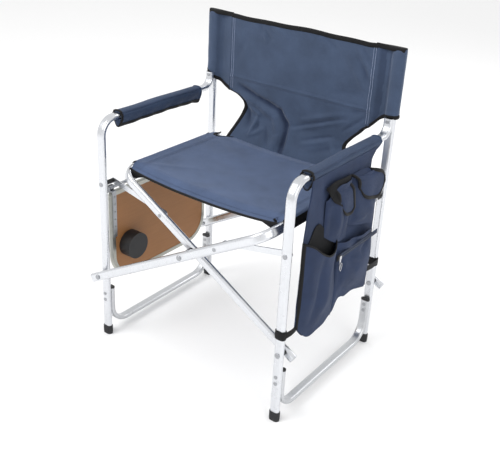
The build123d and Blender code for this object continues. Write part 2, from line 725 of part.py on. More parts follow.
def zip_slider(x0):
    """Zip slider with its hanging pull, a frame open in its middle."""
    y = ZIP_TRAVEL_START
    half = SLIDER_HALF
    slider = box(x0, x0 + SLIDER_T, y - half, y + half, ZIP_Z - half, ZIP_Z + half)
    slider = fillet(slider.edges().filter_by(Axis.X), 2)
    top = ZIP_Z - half
    low = top - PULL_LENGTH
    pull = box(x0 + 0.6, x0 + 2, y - PULL_HALF, y + PULL_HALF, low, top)
    gap = PULL_HALF - PULL_EDGE
    pull -= box(x0, x0 + 3, y - gap, y + gap, low + 3, top - 7)
    save("zip_slider", slider + pull)


def leg_strap(leg_y, z, panel_y):
    """Webbing band round a leg with a short tail to the organiser panel's edge."""
    centre = Pos(LEG_X, leg_y, z)
    fit = STRAP_BAND_FIT
    grown = fit + 2 * STRAP_BAND_T
    half = STRAP_BAND_H / 2
    band = centre * extrude(slot(TUBE_W + grown, TUBE_T + grown), half, both=True)
    band -= centre * extrude(slot(TUBE_W + fit, TUBE_T + fit), STRAP_BAND_H, both=True)
    x0 = LEG_X + TUBE_W / 2 + fit
    tail = box(x0, x0 + STRAP_BAND_T, leg_y, panel_y, z - half, z + half)
    end = STRAP_TAIL_END if leg_y < 0 else -STRAP_TAIL_END
    tail += box(x0, PANEL_X, panel_y, panel_y + end, z - STRAP_TAIL_END, z + STRAP_TAIL_END)
    return band + tail


def main():
    """Writes every node."""
    os.makedirs("parts", exist_ok=True)
    side_frame("left", -1)
    side_frame("right", 1)
    save("left_seat_tube", seat_tube(-1))
    save("right_seat_tube", seat_tube(1))
    cross_pivots()
    stays(lower_pivots())
    fabric()
    tray()
    organiser()


main()
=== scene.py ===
import math

import bpy
import numpy as np
from mathutils import Matrix, Vector


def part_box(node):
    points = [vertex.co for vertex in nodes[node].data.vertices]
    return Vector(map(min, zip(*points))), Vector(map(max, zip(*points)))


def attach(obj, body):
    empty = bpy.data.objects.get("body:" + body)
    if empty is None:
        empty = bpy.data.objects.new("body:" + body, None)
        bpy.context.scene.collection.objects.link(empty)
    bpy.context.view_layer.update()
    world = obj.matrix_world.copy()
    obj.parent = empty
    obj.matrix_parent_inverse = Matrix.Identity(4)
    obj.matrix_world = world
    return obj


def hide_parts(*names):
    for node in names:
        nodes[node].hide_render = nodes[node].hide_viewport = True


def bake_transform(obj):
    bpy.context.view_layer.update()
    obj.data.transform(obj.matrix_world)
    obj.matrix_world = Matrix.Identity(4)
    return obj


# Looks of a folding director chair with a side tray and a hanging organiser. Metres, +Z up.
# The chair faces -Y. The tray hangs on the -X side, called left, and the organiser on +X.

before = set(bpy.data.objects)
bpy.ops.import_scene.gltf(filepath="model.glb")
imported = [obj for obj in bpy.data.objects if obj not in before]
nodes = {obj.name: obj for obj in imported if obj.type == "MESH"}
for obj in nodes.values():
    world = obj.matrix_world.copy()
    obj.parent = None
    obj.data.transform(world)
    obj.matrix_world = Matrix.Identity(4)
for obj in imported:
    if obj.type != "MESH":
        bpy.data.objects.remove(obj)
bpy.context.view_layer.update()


# ---- places read from the frame ----

def middle(node):
    """Middle of a CAD node's box."""
    low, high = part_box(node)
    return (low + high) / 2


POST = middle("right_rear_post")
LEG_X = POST.x
POST_Y = POST.y
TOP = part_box("right_back_sleeve")[1].z
RAIL = middle("left_rail_sleeve")
RAIL_X = -RAIL.x
RAIL_Z = RAIL.z
RAIL_ENDS = {side: [corner.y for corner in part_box(f"{side}_rail_sleeve")] for side in ("left", "right")}
SEAT_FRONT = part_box("left_seat_panel")[0].y
SEAT_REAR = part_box("back_lower")[0].y
PAD_LOW, PAD_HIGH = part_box("left_arm_pad")
PAD_ABOVE_ARM = 0.012
ARM_Z = PAD_HIGH.z - PAD_ABOVE_ARM
PANEL_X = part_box("organiser_panel")[1].x

TUBE_HALF_W = 0.0125
TUBE_HALF_T = 0.0075
CLOTH = 0.0014  # thickness
SIDES = (("left", -1), ("right", 1))
DOWN = (0, 0, -1.0)
OUTWARD = (1.0, 0, 0)  # away from the chair on the organiser's side


# ---- small tools ----

def smooth(points):
    """Function that runs smoothly through a few (place, value) points."""
    xs = np.array([p[0] for p in points], float)
    ys = np.array([p[1] for p in points], float)
    slopes = np.gradient(ys, xs)

    def value(x):
        x = np.clip(np.asarray(x, float), xs[0], xs[-1])
        k = np.clip(np.searchsorted(xs, x) - 1, 0, len(xs) - 2)
        span = xs[k + 1] - xs[k]
        t = (x - xs[k]) / span
        a = (1 + 2 * t) * (1 - t) ** 2 * ys[k] + t * (1 - t) ** 2 * span * slopes[k]
        b = t * t * (3 - 2 * t) * ys[k + 1] + t * t * (t - 1) * span * slopes[k + 1]
        return a + b

    return value


def step(low, high, x):
    """0 below low, 1 above high, smooth between."""
    t = np.clip((x - low) / (high - low), 0, 1)
    return t * t * (3 - 2 * t)


def ridge(u, v, start, end, width, height):
    """Long soft fold from start to end on a plane, fading out towards both ends."""
    run = np.array(end) - np.array(start)
    length = np.hypot(*run)
    t = ((u - start[0]) * run[0] + (v - start[1]) * run[1]) / length**2
    nearest = np.clip(t, 0, 1)
    gap = np.hypot(u - start[0] - nearest * run[0], v - start[1] - nearest * run[1])
    fade = np.sin(np.pi * np.clip(0.12 + 0.76 * t, 0, 1))
    return height * np.exp(-((gap / width) ** 2)) * fade


def folds(u, v, table):
    """Sum of ridges from a short table of (start, end, width, height), in millimetres."""
    total = np.zeros_like(u)
    for start, end, width, height in table:
        a = (start[0] / 1000, start[1] / 1000)
        b = (end[0] / 1000, end[1] / 1000)
        total += ridge(u, v, a, b, width / 1000, height / 1000)
    return total


def ripple(u, v, size, height, seed):
    """Gentle unevenness of cloth: a few waves in directions drawn once from the seed."""
    draw = np.random.default_rng(seed)
    total = np.zeros_like(u)
    waves = 5
    for _ in range(waves):
        angle = draw.uniform(0, math.pi)
        pitch = size * draw.uniform(0.6, 1.5)
        phase = draw.uniform(0, 2 * math.pi)
        total += np.sin((u * math.cos(angle) + v * math.sin(angle)) * 2 * math.pi / pitch + phase)
    return total * height / waves


def unit(vectors):
    """Vectors of length one."""
    return vectors / np.maximum(np.linalg.norm(vectors, axis=-1, keepdims=True), 1e-12)


def grid_normals(grid):
    """Normals of a grid of points, rows by columns."""
    return unit(np.cross(np.gradient(grid, axis=1), np.gradient(grid, axis=0)))


def link(mesh, name, material, body=None):
    """Object of a mesh, smooth, with its material, riding on a body if one is given."""
    mesh.materials.append(material)
    piece = bpy.data.objects.new(name, mesh)
    bpy.context.scene.collection.objects.link(piece)
    if body:
        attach(piece, body)
    return piece


def new_mesh(name, points, faces, uvs=None, normals=None):
    """Mesh from arrays. uvs and normals are one per corner of each face."""
    mesh = bpy.data.meshes.new(name)
    mesh.from_pydata(points.tolist(), [], [list(map(int, f)) for f in faces])
    mesh.polygons.foreach_set("use_smooth", [True] * len(mesh.polygons))
    if uvs is not None:
        layer = mesh.uv_layers.new(name="cloth")
        layer.data.foreach_set("uv", np.asarray(uvs, np.float32).ravel())
    mesh.update()
    if normals is not None:
        mesh.normals_split_custom_set(np.asarray(normals).reshape(-1, 3).tolist())
    return mesh


def measures(grid):
    """Distance along columns and rows of a grid, as the cut cloth lies flat."""
    across = np.linalg.norm(np.diff(grid, axis=1), axis=2).mean(axis=0)
    along = np.linalg.norm(np.diff(grid, axis=0), axis=2).mean(axis=1)
    u = np.concatenate([[0], np.cumsum(across)])
    v = np.concatenate([[0], np.cumsum(along)])
    return np.stack(np.meshgrid(u, v), axis=-1)


def cloth(name, grid, material, body=None, facing=None, columns=None, thickness=CLOTH, shade=None):
    """Closed thin cloth whose middle is a grid of points. facing is the way its front looks.

    shade is painted shade from 0 to 1: it darkens the cloth where deep creases lie in shade."""
    shade = np.zeros(grid.shape[:2]) if shade is None else shade
    normals = grid_normals(grid)
    flat = measures(grid)
    if facing is not None and (normals.mean(axis=(0, 1)) @ np.array(facing)) < 0:
        grid = grid[:, ::-1]
        flat = flat[:, ::-1]
        shade = shade[:, ::-1]
        normals = -normals[:, ::-1]
    if columns is not None:
        keep = np.array(columns)
        grid, flat, normals, shade = (a[:, keep] for a in (grid, flat, normals, shade))
    rows, cols = grid.shape[:2]
    count = rows * cols
    points = np.concatenate([
        (grid + normals * thickness / 2).reshape(-1, 3),
        (grid - normals * thickness / 2).reshape(-1, 3),
    ])
    index = np.arange(count).reshape(rows, cols)
    quad = np.stack([index[:-1, :-1], index[:-1, 1:], index[1:, 1:], index[1:, :-1]], axis=-1)
    front = quad.reshape(-1, 4)
    back = front[:, ::-1] + count
    border = np.concatenate([index[0, :], index[1:, -1], index[-1, -2::-1], index[-2:0:-1, 0]])
    ahead = np.roll(border, -1)
    rim = np.stack([ahead, border, border + count, ahead + count], axis=1)
    faces = np.concatenate([front, back, rim])
    both = np.concatenate([normals.reshape(-1, 3), -normals.reshape(-1, 3)])
    lay = np.concatenate([flat.reshape(-1, 2), flat.reshape(-1, 2)])
    edge_normals = unit(np.cross(points[rim[:, 1]] - points[rim[:, 0]],
                                 points[rim[:, 2]] - points[rim[:, 1]]))
    corner_normals = np.concatenate([
        both[front].reshape(-1, 3),
        both[back].reshape(-1, 3),
        np.repeat(edge_normals, 4, axis=0),
    ])
    mesh = new_mesh(name, points, faces, lay[faces].reshape(-1, 2), corner_normals)
    layer = mesh.attributes.new("shade", "FLOAT", "POINT")
    layer.data.foreach_set("value", np.tile(shade.reshape(-1), 2).astype(np.float32))
    return link(mesh, name, material, body)


def tube(name, rings, material, body=None, closed=False):
    """Closed skin through rings of points. closed joins the last ring to the first."""
    count, sides = rings.shape[:2]
    index = np.arange(count * sides).reshape(count, sides)
    following = np.roll(index, -1, axis=1)
    quad = np.stack([index, following, np.roll(following, -1, axis=0), np.roll(index, -1, axis=0)], axis=-1)
    faces = quad[:count if closed else -1].reshape(-1, 4).tolist()
    if not closed:
        faces += [index[0, ::-1].tolist(), index[-1].tolist()]
    flat = measures(rings).reshape(-1, 2)
    uvs = np.concatenate([flat[list(f)] for f in faces])
    mesh = new_mesh(name, rings.reshape(-1, 3), faces, uvs)
    if not closed:
        for face in mesh.polygons[len(faces) - 2:]:
            face.use_smooth = False
    return link(mesh, name, material, body)


def turn_angles(count):
    """Even angles once round, without the last that meets the first."""
    return np.arange(count) / count * 2 * math.pi


def oval(half_w, half_t, sides=14, power=2.6):
    """Points of a rounded flat section: width along the first number."""
    angle = turn_angles(sides)
    c, s = np.cos(angle), np.sin(angle)
    return np.stack([
        half_w * np.sign(c) * np.abs(c) ** (2 / power),
        half_t * np.sign(s) * np.abs(s) ** (2 / power),
    ], axis=1)


def tape(name, path, inward, normals, size, material, body=None, closed=False):
    """Tape folded over a cloth edge: path is the edge, inward points into the cloth.

    inward and normals are one vector, or one for each point. size is (width, thickness)."""
    path = np.asarray(path, float)
    inward, normals = (np.broadcast_to(np.asarray(a, float), path.shape) for a in (inward, normals))
    width, thickness = size
    inset = width * 0.36
    section = oval(width / 2, 0.5)
    rings = (
        path[:, None]
        + inward[:, None] * (section[None, :, :1] + inset)
        + normals[:, None] * section[None, :, 1:] * thickness
    )
    return tube(name, rings, material, body, closed)


def hem(name, grid, side, size, body=None, part=None, material=None):
    """Tape over one side of a grid of cloth: first or last row, first or last column."""
    normals = grid_normals(grid)
    if side in ("left", "right"):
        grid, normals = grid.transpose(1, 0, 2), normals.transpose(1, 0, 2)
    edge, inner = (0, 1) if side in ("bottom", "left") else (-1, -2)
    path, inward, facing = grid[edge], unit(grid[inner] - grid[edge]), normals[edge]
    if part is not None:
        path, inward, facing = path[part], inward[part], facing[part]
    return tape(name, path, inward, facing, size, material or BLACK_TAPE, body)


def along(path, pitch):
    """Points and directions at even distances along a path."""
    path = np.asarray(path, float)
    reach = np.concatenate([[0], np.cumsum(np.linalg.norm(np.diff(path, axis=0), axis=1))])

    def at(places):
        return np.stack([np.interp(places, reach, path[:, k]) for k in range(3)], axis=1)

    places = np.arange(pitch / 2, reach[-1], pitch)
    return at(places), unit(at(places + pitch / 4) - at(places - pitch / 4))


def stitches(name, path, normal, material, body=None, pitch=0.0042, radius=0.00042):
    """Row of thread stitches lying on cloth whose face looks along normal."""
    length = 0.0029
    lift = radius * 0.6
    corners = 6
    profile = [(-1, 0.35), (-0.5, 1), (0.5, 1), (1, 0.35)]  # (place along the stitch, share of its radius)
    points, run = along(path, pitch)
    up = unit(np.broadcast_to(np.asarray(normal, float), points.shape))
    side = unit(np.cross(run, up))
    verts, faces = [], []
    for p, r, u, s in zip(points, run, up, side):
        base = len(verts)
        for t, size in profile:
            for corner in range(corners):
                angle = corner * math.pi * 2 / corners
                offset = (s * math.cos(angle) + u * math.sin(angle)) * radius * size
                verts.append(p + r * t * length / 2 + offset + u * lift)
        last = base + (len(profile) - 1) * corners
        for ring in range(base, last, corners):
            for corner in range(corners):
                a, b = ring + corner, ring + (corner + 1) % corners
                faces.append((a, b, b + corners, a + corners))
        faces.append(tuple(base + k for k in range(corners - 1, -1, -1)))
        faces.append(tuple(last + k for k in range(corners)))
    return link(new_mesh(name, np.array(verts), faces), name, material, body)


# ---- materials ----

def shader(name):
    """New node material: the material, its node tree and its main shader."""
    material = bpy.data.materials.new(name)
    material.use_nodes = True
    tree = material.node_tree
    return material, tree, tree.nodes["Principled BSDF"]


def plug(socket, value):
    """Feeds a socket from another one's output, or gives it a plain value."""
    if isinstance(value, bpy.types.NodeSocket):
        socket.id_data.links.new(value, socket)
    else:
        socket.default_value = value


def feed(node, **values):
    """Sets a node's properties and sockets by name."""
    for key, value in values.items():
        socket = node.inputs.get(key.replace("_", " "))
        if socket is None:
            setattr(node, key, value)
        else:
            plug(socket, value)
    return node


def add(tree, kind, **values):
    """New node with properties and sockets set by name."""
    return feed(tree.nodes.new(kind), **values)


def ramp(tree, source, *stops):
    """Colour ramp fed by a value: two stops of (place, colour), one number standing for a grey."""
    node = add(tree, "ShaderNodeValToRGB", Fac=source)
    for element, (place, colour) in zip(node.color_ramp.elements, stops):
        element.position = place
        element.color = (*np.broadcast_to(colour, 3).tolist(), 1)
    return node.outputs["Color"]


def multiply(tree, share, tone, source, *stops):
    """Tone multiplied, as far as share says, by a ramp over a value."""
    node = add(tree, "ShaderNodeMix", data_type="RGBA", blend_type="MULTIPLY")
    for name, value in (("Factor", share), ("A", tone), ("B", ramp(tree, source, *stops))):
        plug([i for i in node.inputs if i.name == name and i.enabled][0], value)
    return [o for o in node.outputs if o.enabled][0]


def maths(tree, operation, a, b):
    """Math node on two sockets or numbers."""
    node = add(tree, "ShaderNodeMath", operation=operation)
    plug(node.inputs[0], a)
    plug(node.inputs[1], b)
    return node.outputs[0]


def linear(colour):
    """Linear colour of an sRGB colour given from 0 to 255."""
    return tuple((c / 255 / 12.92) if c < 10.3 else ((c / 255 + 0.055) / 1.055) ** 2.4 for c in colour)


def times(colour, share):
    """Colour made darker or lighter."""
    return tuple(c * share for c in colour)


def own_place(tree):
    """Place in the piece's own coordinates."""
    return add(tree, "ShaderNodeTexCoord").outputs["Object"]


def flat_place(tree):
    """Place on the cloth as it lies flat, in metres."""
    return add(tree, "ShaderNodeUVMap", uv_map="cloth").outputs["UV"]


def scaled(tree, vector, scale):
    """Vector scaled along each axis."""
    return add(tree, "ShaderNodeMapping", Vector=vector, Scale=scale).outputs["Vector"]


def noise(tree, vector, scale, detail=4.0, roughness=0.55):
    """Noise texture's value."""
    return add(tree, "ShaderNodeTexNoise", Vector=vector, Scale=scale, Detail=detail,
               Roughness=roughness).outputs["Fac"]


def bump(tree, main, height, strength, distance, before=None):
    """Bump fed to the main shader, after another bump if one is given."""
    node = add(tree, "ShaderNodeBump", Strength=strength, Distance=distance, Height=height)
    if before is not None:
        feed(node, Normal=before)
    feed(main, Normal=node.outputs["Normal"])
    return node.outputs["Normal"]


WAVE = math.pi / 10  # scale at which a wave texture has one band to each unit


def woven(name, colour, pitch=0.0011, sheen=0.3, depth=0.00025):
    """Plain-weave polyester: threads over and under, slubs, soft blotches, a dusty sheen and painted shade in
    creases.
    """
    material, tree, main = shader(name)
    base = linear(colour)
    place = own_place(tree)
    lay = scaled(tree, flat_place(tree), (1 / pitch, 1 / pitch, 1))
    threads = [add(tree, "ShaderNodeTexWave", Vector=lay, Scale=WAVE, Distortion=0.0,
                   bands_direction=axis).outputs["Fac"] for axis in ("X", "Y")]
    over = add(tree, "ShaderNodeTexChecker", Vector=lay, Scale=1.0).outputs["Fac"]
    warp = maths(tree, "MULTIPLY", threads[0], over)
    weft = maths(tree, "MULTIPLY", threads[1], maths(tree, "SUBTRACT", 1.0, over))
    weave = maths(tree, "ADD", warp, weft)
    blotch = noise(tree, place, 14.0, 5.0, 0.6)
    slub = noise(tree, place, 420.0, 2.0)
    # painted shade: the mesh's shade attribute darkens deep creases towards a dark blue-grey
    shade = add(tree, "ShaderNodeAttribute", attribute_name="shade").outputs["Fac"]
    tone = ramp(tree, blotch, (0.32, times(base, 0.84)), (0.68, times(base, 1.13)))
    tone = multiply(tree, 0.35, tone, weave, (0.0, 0.62), (0.8, 1.1))
    tone = multiply(tree, 0.22, tone, slub, (0.35, 0.78), (0.65, 1.15))
    tone = multiply(tree, 1.0, tone, shade, (0.0, 1.0), (1.0, (0.36, 0.40, 0.50)))
    feed(main, Base_Color=tone, Roughness=0.78, Specular_IOR_Level=0.22, Sheen_Weight=sheen,
         Sheen_Roughness=0.45, Sheen_Tint=(0.72, 0.80, 0.95, 1))
    rough = bump(tree, main, noise(tree, place, 95.0, 4.0), 0.25, 0.0006)
    bump(tree, main, weave, 0.5, depth, rough)
    return material


def webbing(name, colour):
    """Ribbed tape: cross ribs with a twill shift."""
    material, tree, main = shader(name)
    base = linear(colour)
    pitch = 0.0022
    ribs = add(tree, "ShaderNodeTexWave", Vector=flat_place(tree), Scale=WAVE / pitch, Distortion=0.6,
               Detail_Scale=2.0, bands_direction="DIAGONAL").outputs["Fac"]
    worn = noise(tree, own_place(tree), 60.0)
    tone = ramp(tree, worn, (0.3, times(base, 0.7)), (0.75, times(base, 1.7)))
    tone = multiply(tree, 0.5, tone, ribs, (0, 0.55), (1, 1.2))
    feed(main, Base_Color=tone, Roughness=0.72, Sheen_Weight=0.04, Specular_IOR_Level=0.25)
    bump(tree, main, ribs, 0.5, 0.0003)
    return material


def metal(name, colour, roughness, stretch=(60, 60, 2), grain=0.12, spots=0.0):
    """Satin metal: fine grain drawn along the piece, uneven gloss, faint handling marks."""
    material, tree, main = shader(name)
    base = linear(colour)
    place = own_place(tree)
    lines = noise(tree, scaled(tree, place, stretch), 22.0, 6.0, 0.7)
    cloud = noise(tree, place, 9.0, 5.0)
    tone = ramp(tree, lines, (0.3, times(base, 1 - grain)), (0.7, base))
    tone = multiply(tree, 0.5, tone, cloud, (0.3, 0.9), (0.7, 1.0))
    if spots:
        tone = multiply(tree, spots, tone, noise(tree, place, 130.0, 3.0, 0.7), (0.30, 0.5), (0.42, 1.0))
    gloss = add(tree, "ShaderNodeMapRange", Value=cloud, From_Min=0.3, From_Max=0.7,
                To_Min=roughness * 0.8, To_Max=roughness * 1.35).outputs["Result"]
    feed(main, Base_Color=tone, Metallic=1.0, Roughness=gloss)
    bump(tree, main, lines, 0.18, 0.00012)
    return material


def plastic(name, colour, roughness=0.45, texture=0.0002):
    """Moulded plastic with a fine spark-eroded surface and scuffed high spots."""
    material, tree, main = shader(name)
    base = linear(colour)
    place = own_place(tree)
    scuff = noise(tree, place, 45.0, 6.0, 0.65)
    worn = tuple(c * 1.5 + 0.004 for c in base)
    feed(main, Base_Color=ramp(tree, scuff, (0.35, times(base, 0.85)), (0.72, worn)),
         Roughness=ramp(tree, scuff, (0.3, roughness), (0.75, min(1, roughness * 1.4))))
    bump(tree, main, noise(tree, place, 900.0, 3.0), 0.4, texture)
    return material


def board(name, colour):
    """Brown pressed board with a matt printed skin: long faint grain, specks and clouds."""
    material, tree, main = shader(name)
    base = linear(colour)
    place = own_place(tree)
    grain = noise(tree, scaled(tree, place, (30, 2.2, 26)), 6.0, 7.0, 0.62)
    tone = ramp(tree, grain, (0.25, times(base, 0.90)), (0.75, times(base, 1.06)))
    tone = multiply(tree, 0.5, tone, noise(tree, place, 7.0, 4.0), (0.3, 0.86), (0.7, 1.05))
    tone = multiply(tree, 0.3, tone, noise(tree, place, 520.0, 2.0), (0.35, 0.75), (0.6, 1.08))
    feed(main, Base_Color=tone, Roughness=0.55)
    bump(tree, main, grain, 0.25, 0.0002)
    return material


# One navy polyester: the seat, back, pad and organiser tones are partly painted light and shade, the seat
# lightest where it faces up to the lamps and the organiser darkest under the arm, with slight real variation
# between them
SEAT_CLOTH = woven("seat_polyester", (74, 90, 121))
BACK_CLOTH = woven("back_polyester", (64, 78, 102))
PAD_CLOTH = woven("pad_polyester", (51, 65, 90), sheen=0.12)
BAG_CLOTH = woven("organiser_polyester", (43, 55, 82), sheen=0.06)
BLACK_TAPE = webbing("black_binding", (11, 11, 13))
ZIP_TAPE = webbing("zip_tape", (37, 46, 65))
BLACK_MESH = woven("black_mesh", (11, 11, 13), pitch=0.0024, sheen=0.03, depth=0.0006)
THREAD = plastic("stitch_thread", (150, 161, 186), 0.7)
DARK_THREAD = plastic("dark_thread", (60, 70, 96), 0.7)
BRIGHT_TUBE = metal("bright_aluminium", (226, 228, 232), 0.26, spots=0.25)
DULL_TUBE = metal("brushed_aluminium", (214, 216, 219), 0.34, (4, 60, 60), 0.22, 0.4)
TRAY_EDGE = metal("tray_edge_aluminium", (186, 186, 178), 0.36, (60, 3, 60), 0.2, 0.3)
STEEL = metal("zinc_steel", (176, 178, 182), 0.33, (40, 40, 40), 0.2, 0.3)
ZIP_METAL = metal("zip_nickel", (205, 205, 208), 0.22, (40, 40, 40), 0.1)
BLACK_PLASTIC = plastic("black_plastic", (20, 20, 22))
FOOT_PLASTIC = plastic("foot_rubber", (36, 37, 40), 0.62, 0.0004)
ZIP_TEETH = plastic("zip_teeth", (44, 53, 72), 0.5)
TRAY_BOARD = board("tray_board", (152, 104, 60))


def finish_of(node):
    """Material for a CAD node that is shown as it is."""
    kinds = [
        (("arm_tube", "rear_post", "seat_tube", "stays"), BRIGHT_TUBE),
        (("lower_rail", "hinge_rail"), DULL_TUBE),
        (("tray_edging",), TRAY_EDGE),
        (("tray_board",), TRAY_BOARD),
        (("foot_caps",), FOOT_PLASTIC),
        (("plugs", "cup_holder", "spacers", "stand_off"), BLACK_PLASTIC),
        (("zip_slider",), ZIP_METAL),
        (("pins", "rivets", "hinge_straps", "hinge_blocks"), STEEL),
    ]
    for words, material in kinds:
        if any(word in node for word in words):
            return material
    return None


def dress_cad():
    """Gives each carried-over CAD node its finished material."""
    for name, piece in nodes.items():
        material = finish_of(name)
        if material is None:
            continue
        if not piece.data.materials:
            piece.data.materials.append(material)
        for k in range(len(piece.material_slots)):
            piece.material_slots[k].material = material


# ---- seat ----

WRAP_R = TUBE_HALF_T + 0.0019
FLAT_SPAN = 0.005
RAIL_TILT = math.atan2(0.8671, 0.4981)
SEAT_SAG = 0.0115
SEAT_SEAM_X = 0.2185
SEAT_HEM = (0.0075, 0.0046)
SEAT_PULLS = [
    ((-238, -150), (-120, -60), 9, 0.9),
    ((236, -160), (110, -70), 10, 0.8),
    ((-236, 150), (-90, 80), 10, 0.8),
    ((236, 150), (100, 90), 10, 0.7),
    ((-60, -172), (20, -100), 14, 0.5),
]


def rail_centres(side):
    """Upper and lower centres of the flat-oval rail's round edges, in the XZ plane."""
    lean = np.array([-side * math.cos(RAIL_TILT), math.sin(RAIL_TILT)])
    rail = np.array([side * RAIL_X, RAIL_Z])
    return rail + lean * FLAT_SPAN, rail - lean * FLAT_SPAN


def seat_grid(front, rear):
    """The sling between the rails: sagging, dropping at its front, cut in at its rear corners."""
    edge_x, edge_z = rail_centres(1)[0] + np.array([0, WRAP_R])
    s = np.linspace(-1, 1, 121)[None, :]
    share = np.linspace(0, 1, 91)[:, None]
    out = np.abs(s)
    dip = 0.034 * step(0.80, 0.88, out) * (1 - step(0.95, 1.0, out))
    y = front + (rear - dip - front) * share
    y = y - 0.005 * (1 - share) ** 12
    tuck = 0.012 * step(RAIL_ENDS["left"][1], rear, y)
    tuck += 0.010 * step(0.150, 0.178, -y) * (s < 0) + 0.006 * step(0.166, 0.178, -y) * (s > 0)
    x = s * (edge_x - tuck)
    hang = 1 - out ** 2.2
    depth = SEAT_SAG + 0.004 * np.sin((y - front) / (rear - front) * math.pi)
    fall = step(-front - 0.036, -front + 0.004, -y)
    z = edge_z - hang * depth - 0.0135 * fall * (0.5 + 0.5 * hang ** 0.3)
    z = z + folds(x, y, SEAT_PULLS) + ripple(x, y, 0.16, 0.0006, 3) * hang
    z = z - 0.004 * step(rear - 0.030, rear, y)
    return np.stack([x, y, z], axis=-1)


def seat():
    """Sling between the rails, its loops round them, hems, front cheeks and seams."""
    rear = SEAT_REAR + 0.004
    front = SEAT_FRONT - 0.004
    grid = seat_grid(front, rear)
    sling = cloth("seat_sling", grid, SEAT_CLOTH, facing=(0, 0, 1))
    blended = [sling, hem("seat_front_hem", grid, "bottom", SEAT_HEM)]
    for name, side in SIDES:
        y = np.linspace(front + 0.012, rear - 0.012, 60)
        for k, offset in enumerate((0.0, 0.0065)):
            x = np.full_like(y, side * SEAT_SEAM_X) - side * offset
            blended.append(seat_stitches(f"seat_{name}_seam_{k}", grid, x, y))
    x = np.linspace(-0.226, 0.226, 90)
    blended.append(seat_stitches("seat_front_stitches", grid, x, np.full_like(x, front + 0.0115)))
    cols = grid.shape[1]
    outer = int(cols * 0.11)
    for name, part in (("left", slice(0, outer)), ("right", slice(cols - outer, cols))):
        blended.append(hem(f"seat_{name}_rear_hem", grid, "top", SEAT_HEM, part=part))
        blended.append(front_cheek(f"seat_{name}_front_cheek", grid, part))
    for piece in blended:
        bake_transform(piece)
    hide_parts("left_seat_panel", "right_seat_panel", "seat_centre")
    for name, side in SIDES:
        rail_loop(side, name)


def seat_stitches(name, grid, x, y):
    """Row of stitches lying on the seat at the places given by x and y."""
    column = np.abs(grid[0, :, 0] - x[:, None]).argmin(axis=1)
    row = np.abs(grid[:, 0, 1] - y[:, None]).argmin(axis=1)
    path = np.stack([x, y, grid[row, column, 2] + CLOTH / 2], axis=1)
    return stitches(name, path, (0, 0, 1), DARK_THREAD)


def front_cheek(name, grid, part):
    """Black gusset hanging under a front corner of the sling, beside the rail."""
    edge = grid[0, part]
    if edge[0, 0] > 0:
        edge = edge[::-1]
    t = np.linspace(0, 1, 12)[:, None, None]
    share = np.linspace(1, 0, len(edge))[None, :, None]
    drop = np.array([0.0, 0.004, -0.024])
    low = edge[None] + drop * share + np.array([0.0, 0.0015, -0.002])
    sheet = edge[None] * (1 - t) + low * t
    return cloth(name, sheet, BLACK_MESH, facing=(0, -1, 0), thickness=0.0012)


def rail_loop(side, name):
    """The sling's edge folded round a seat rail and sewn back under itself."""
    body = f"{name}_seat_frame"
    upper, lower = rail_centres(side)
    turn = np.concatenate([np.linspace(90, 30, 9), np.linspace(30, -122, 20)])
    centre = np.concatenate([np.tile(upper, (9, 1)), np.tile(lower, (20, 1))])
    if side < 0:
        turn = 180 - turn
    angle = np.radians(turn)
    profile = centre + WRAP_R * np.stack([np.cos(angle), np.sin(angle)], axis=1)
    last = np.array([side * 0.2150, upper[1] + WRAP_R - 0.0052])
    steps = np.linspace(0, 1, 8)[1:, None]
    profile = np.concatenate([profile, profile[-1] * (1 - steps) + last * steps])
    y0, y1 = RAIL_ENDS[name]
    y, x = np.meshgrid(np.linspace(y0 - 0.002, y1 + 0.004, 60), profile[:, 0], indexing="ij")
    girth = np.linspace(0, 0.08, len(profile)) + 0 * x
    wave = ripple(girth, y, 0.09, 0.0005, 8 + side) * step(0, 5, np.arange(len(profile)))
    grid = np.stack([x, y, profile[:, 1] + 0 * x], axis=-1)
    grid = grid + grid_normals(grid) * wave[..., None] * 0.6
    loop = cloth(f"{name}_rail_loop", grid, SEAT_CLOTH, body, facing=(side * 1.0, 0, 0.2))
    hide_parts(f"{name}_rail_sleeve")
    for end, row in (("front", "bottom"), ("rear", "top")):
        hem(f"{name}_loop_{end}_hem", grid, row, (0.007, 0.0036), body)
    patch = grid[:22, 7:]
    outwards = grid_normals(patch)
    outwards = outwards * np.sign((outwards * np.array([side, 0, 0.2])).sum(axis=2).mean())
    cloth(f"{name}_rail_patch", patch + outwards * 0.0013, BLACK_MESH, body, thickness=0.0010)


# ---- back ----

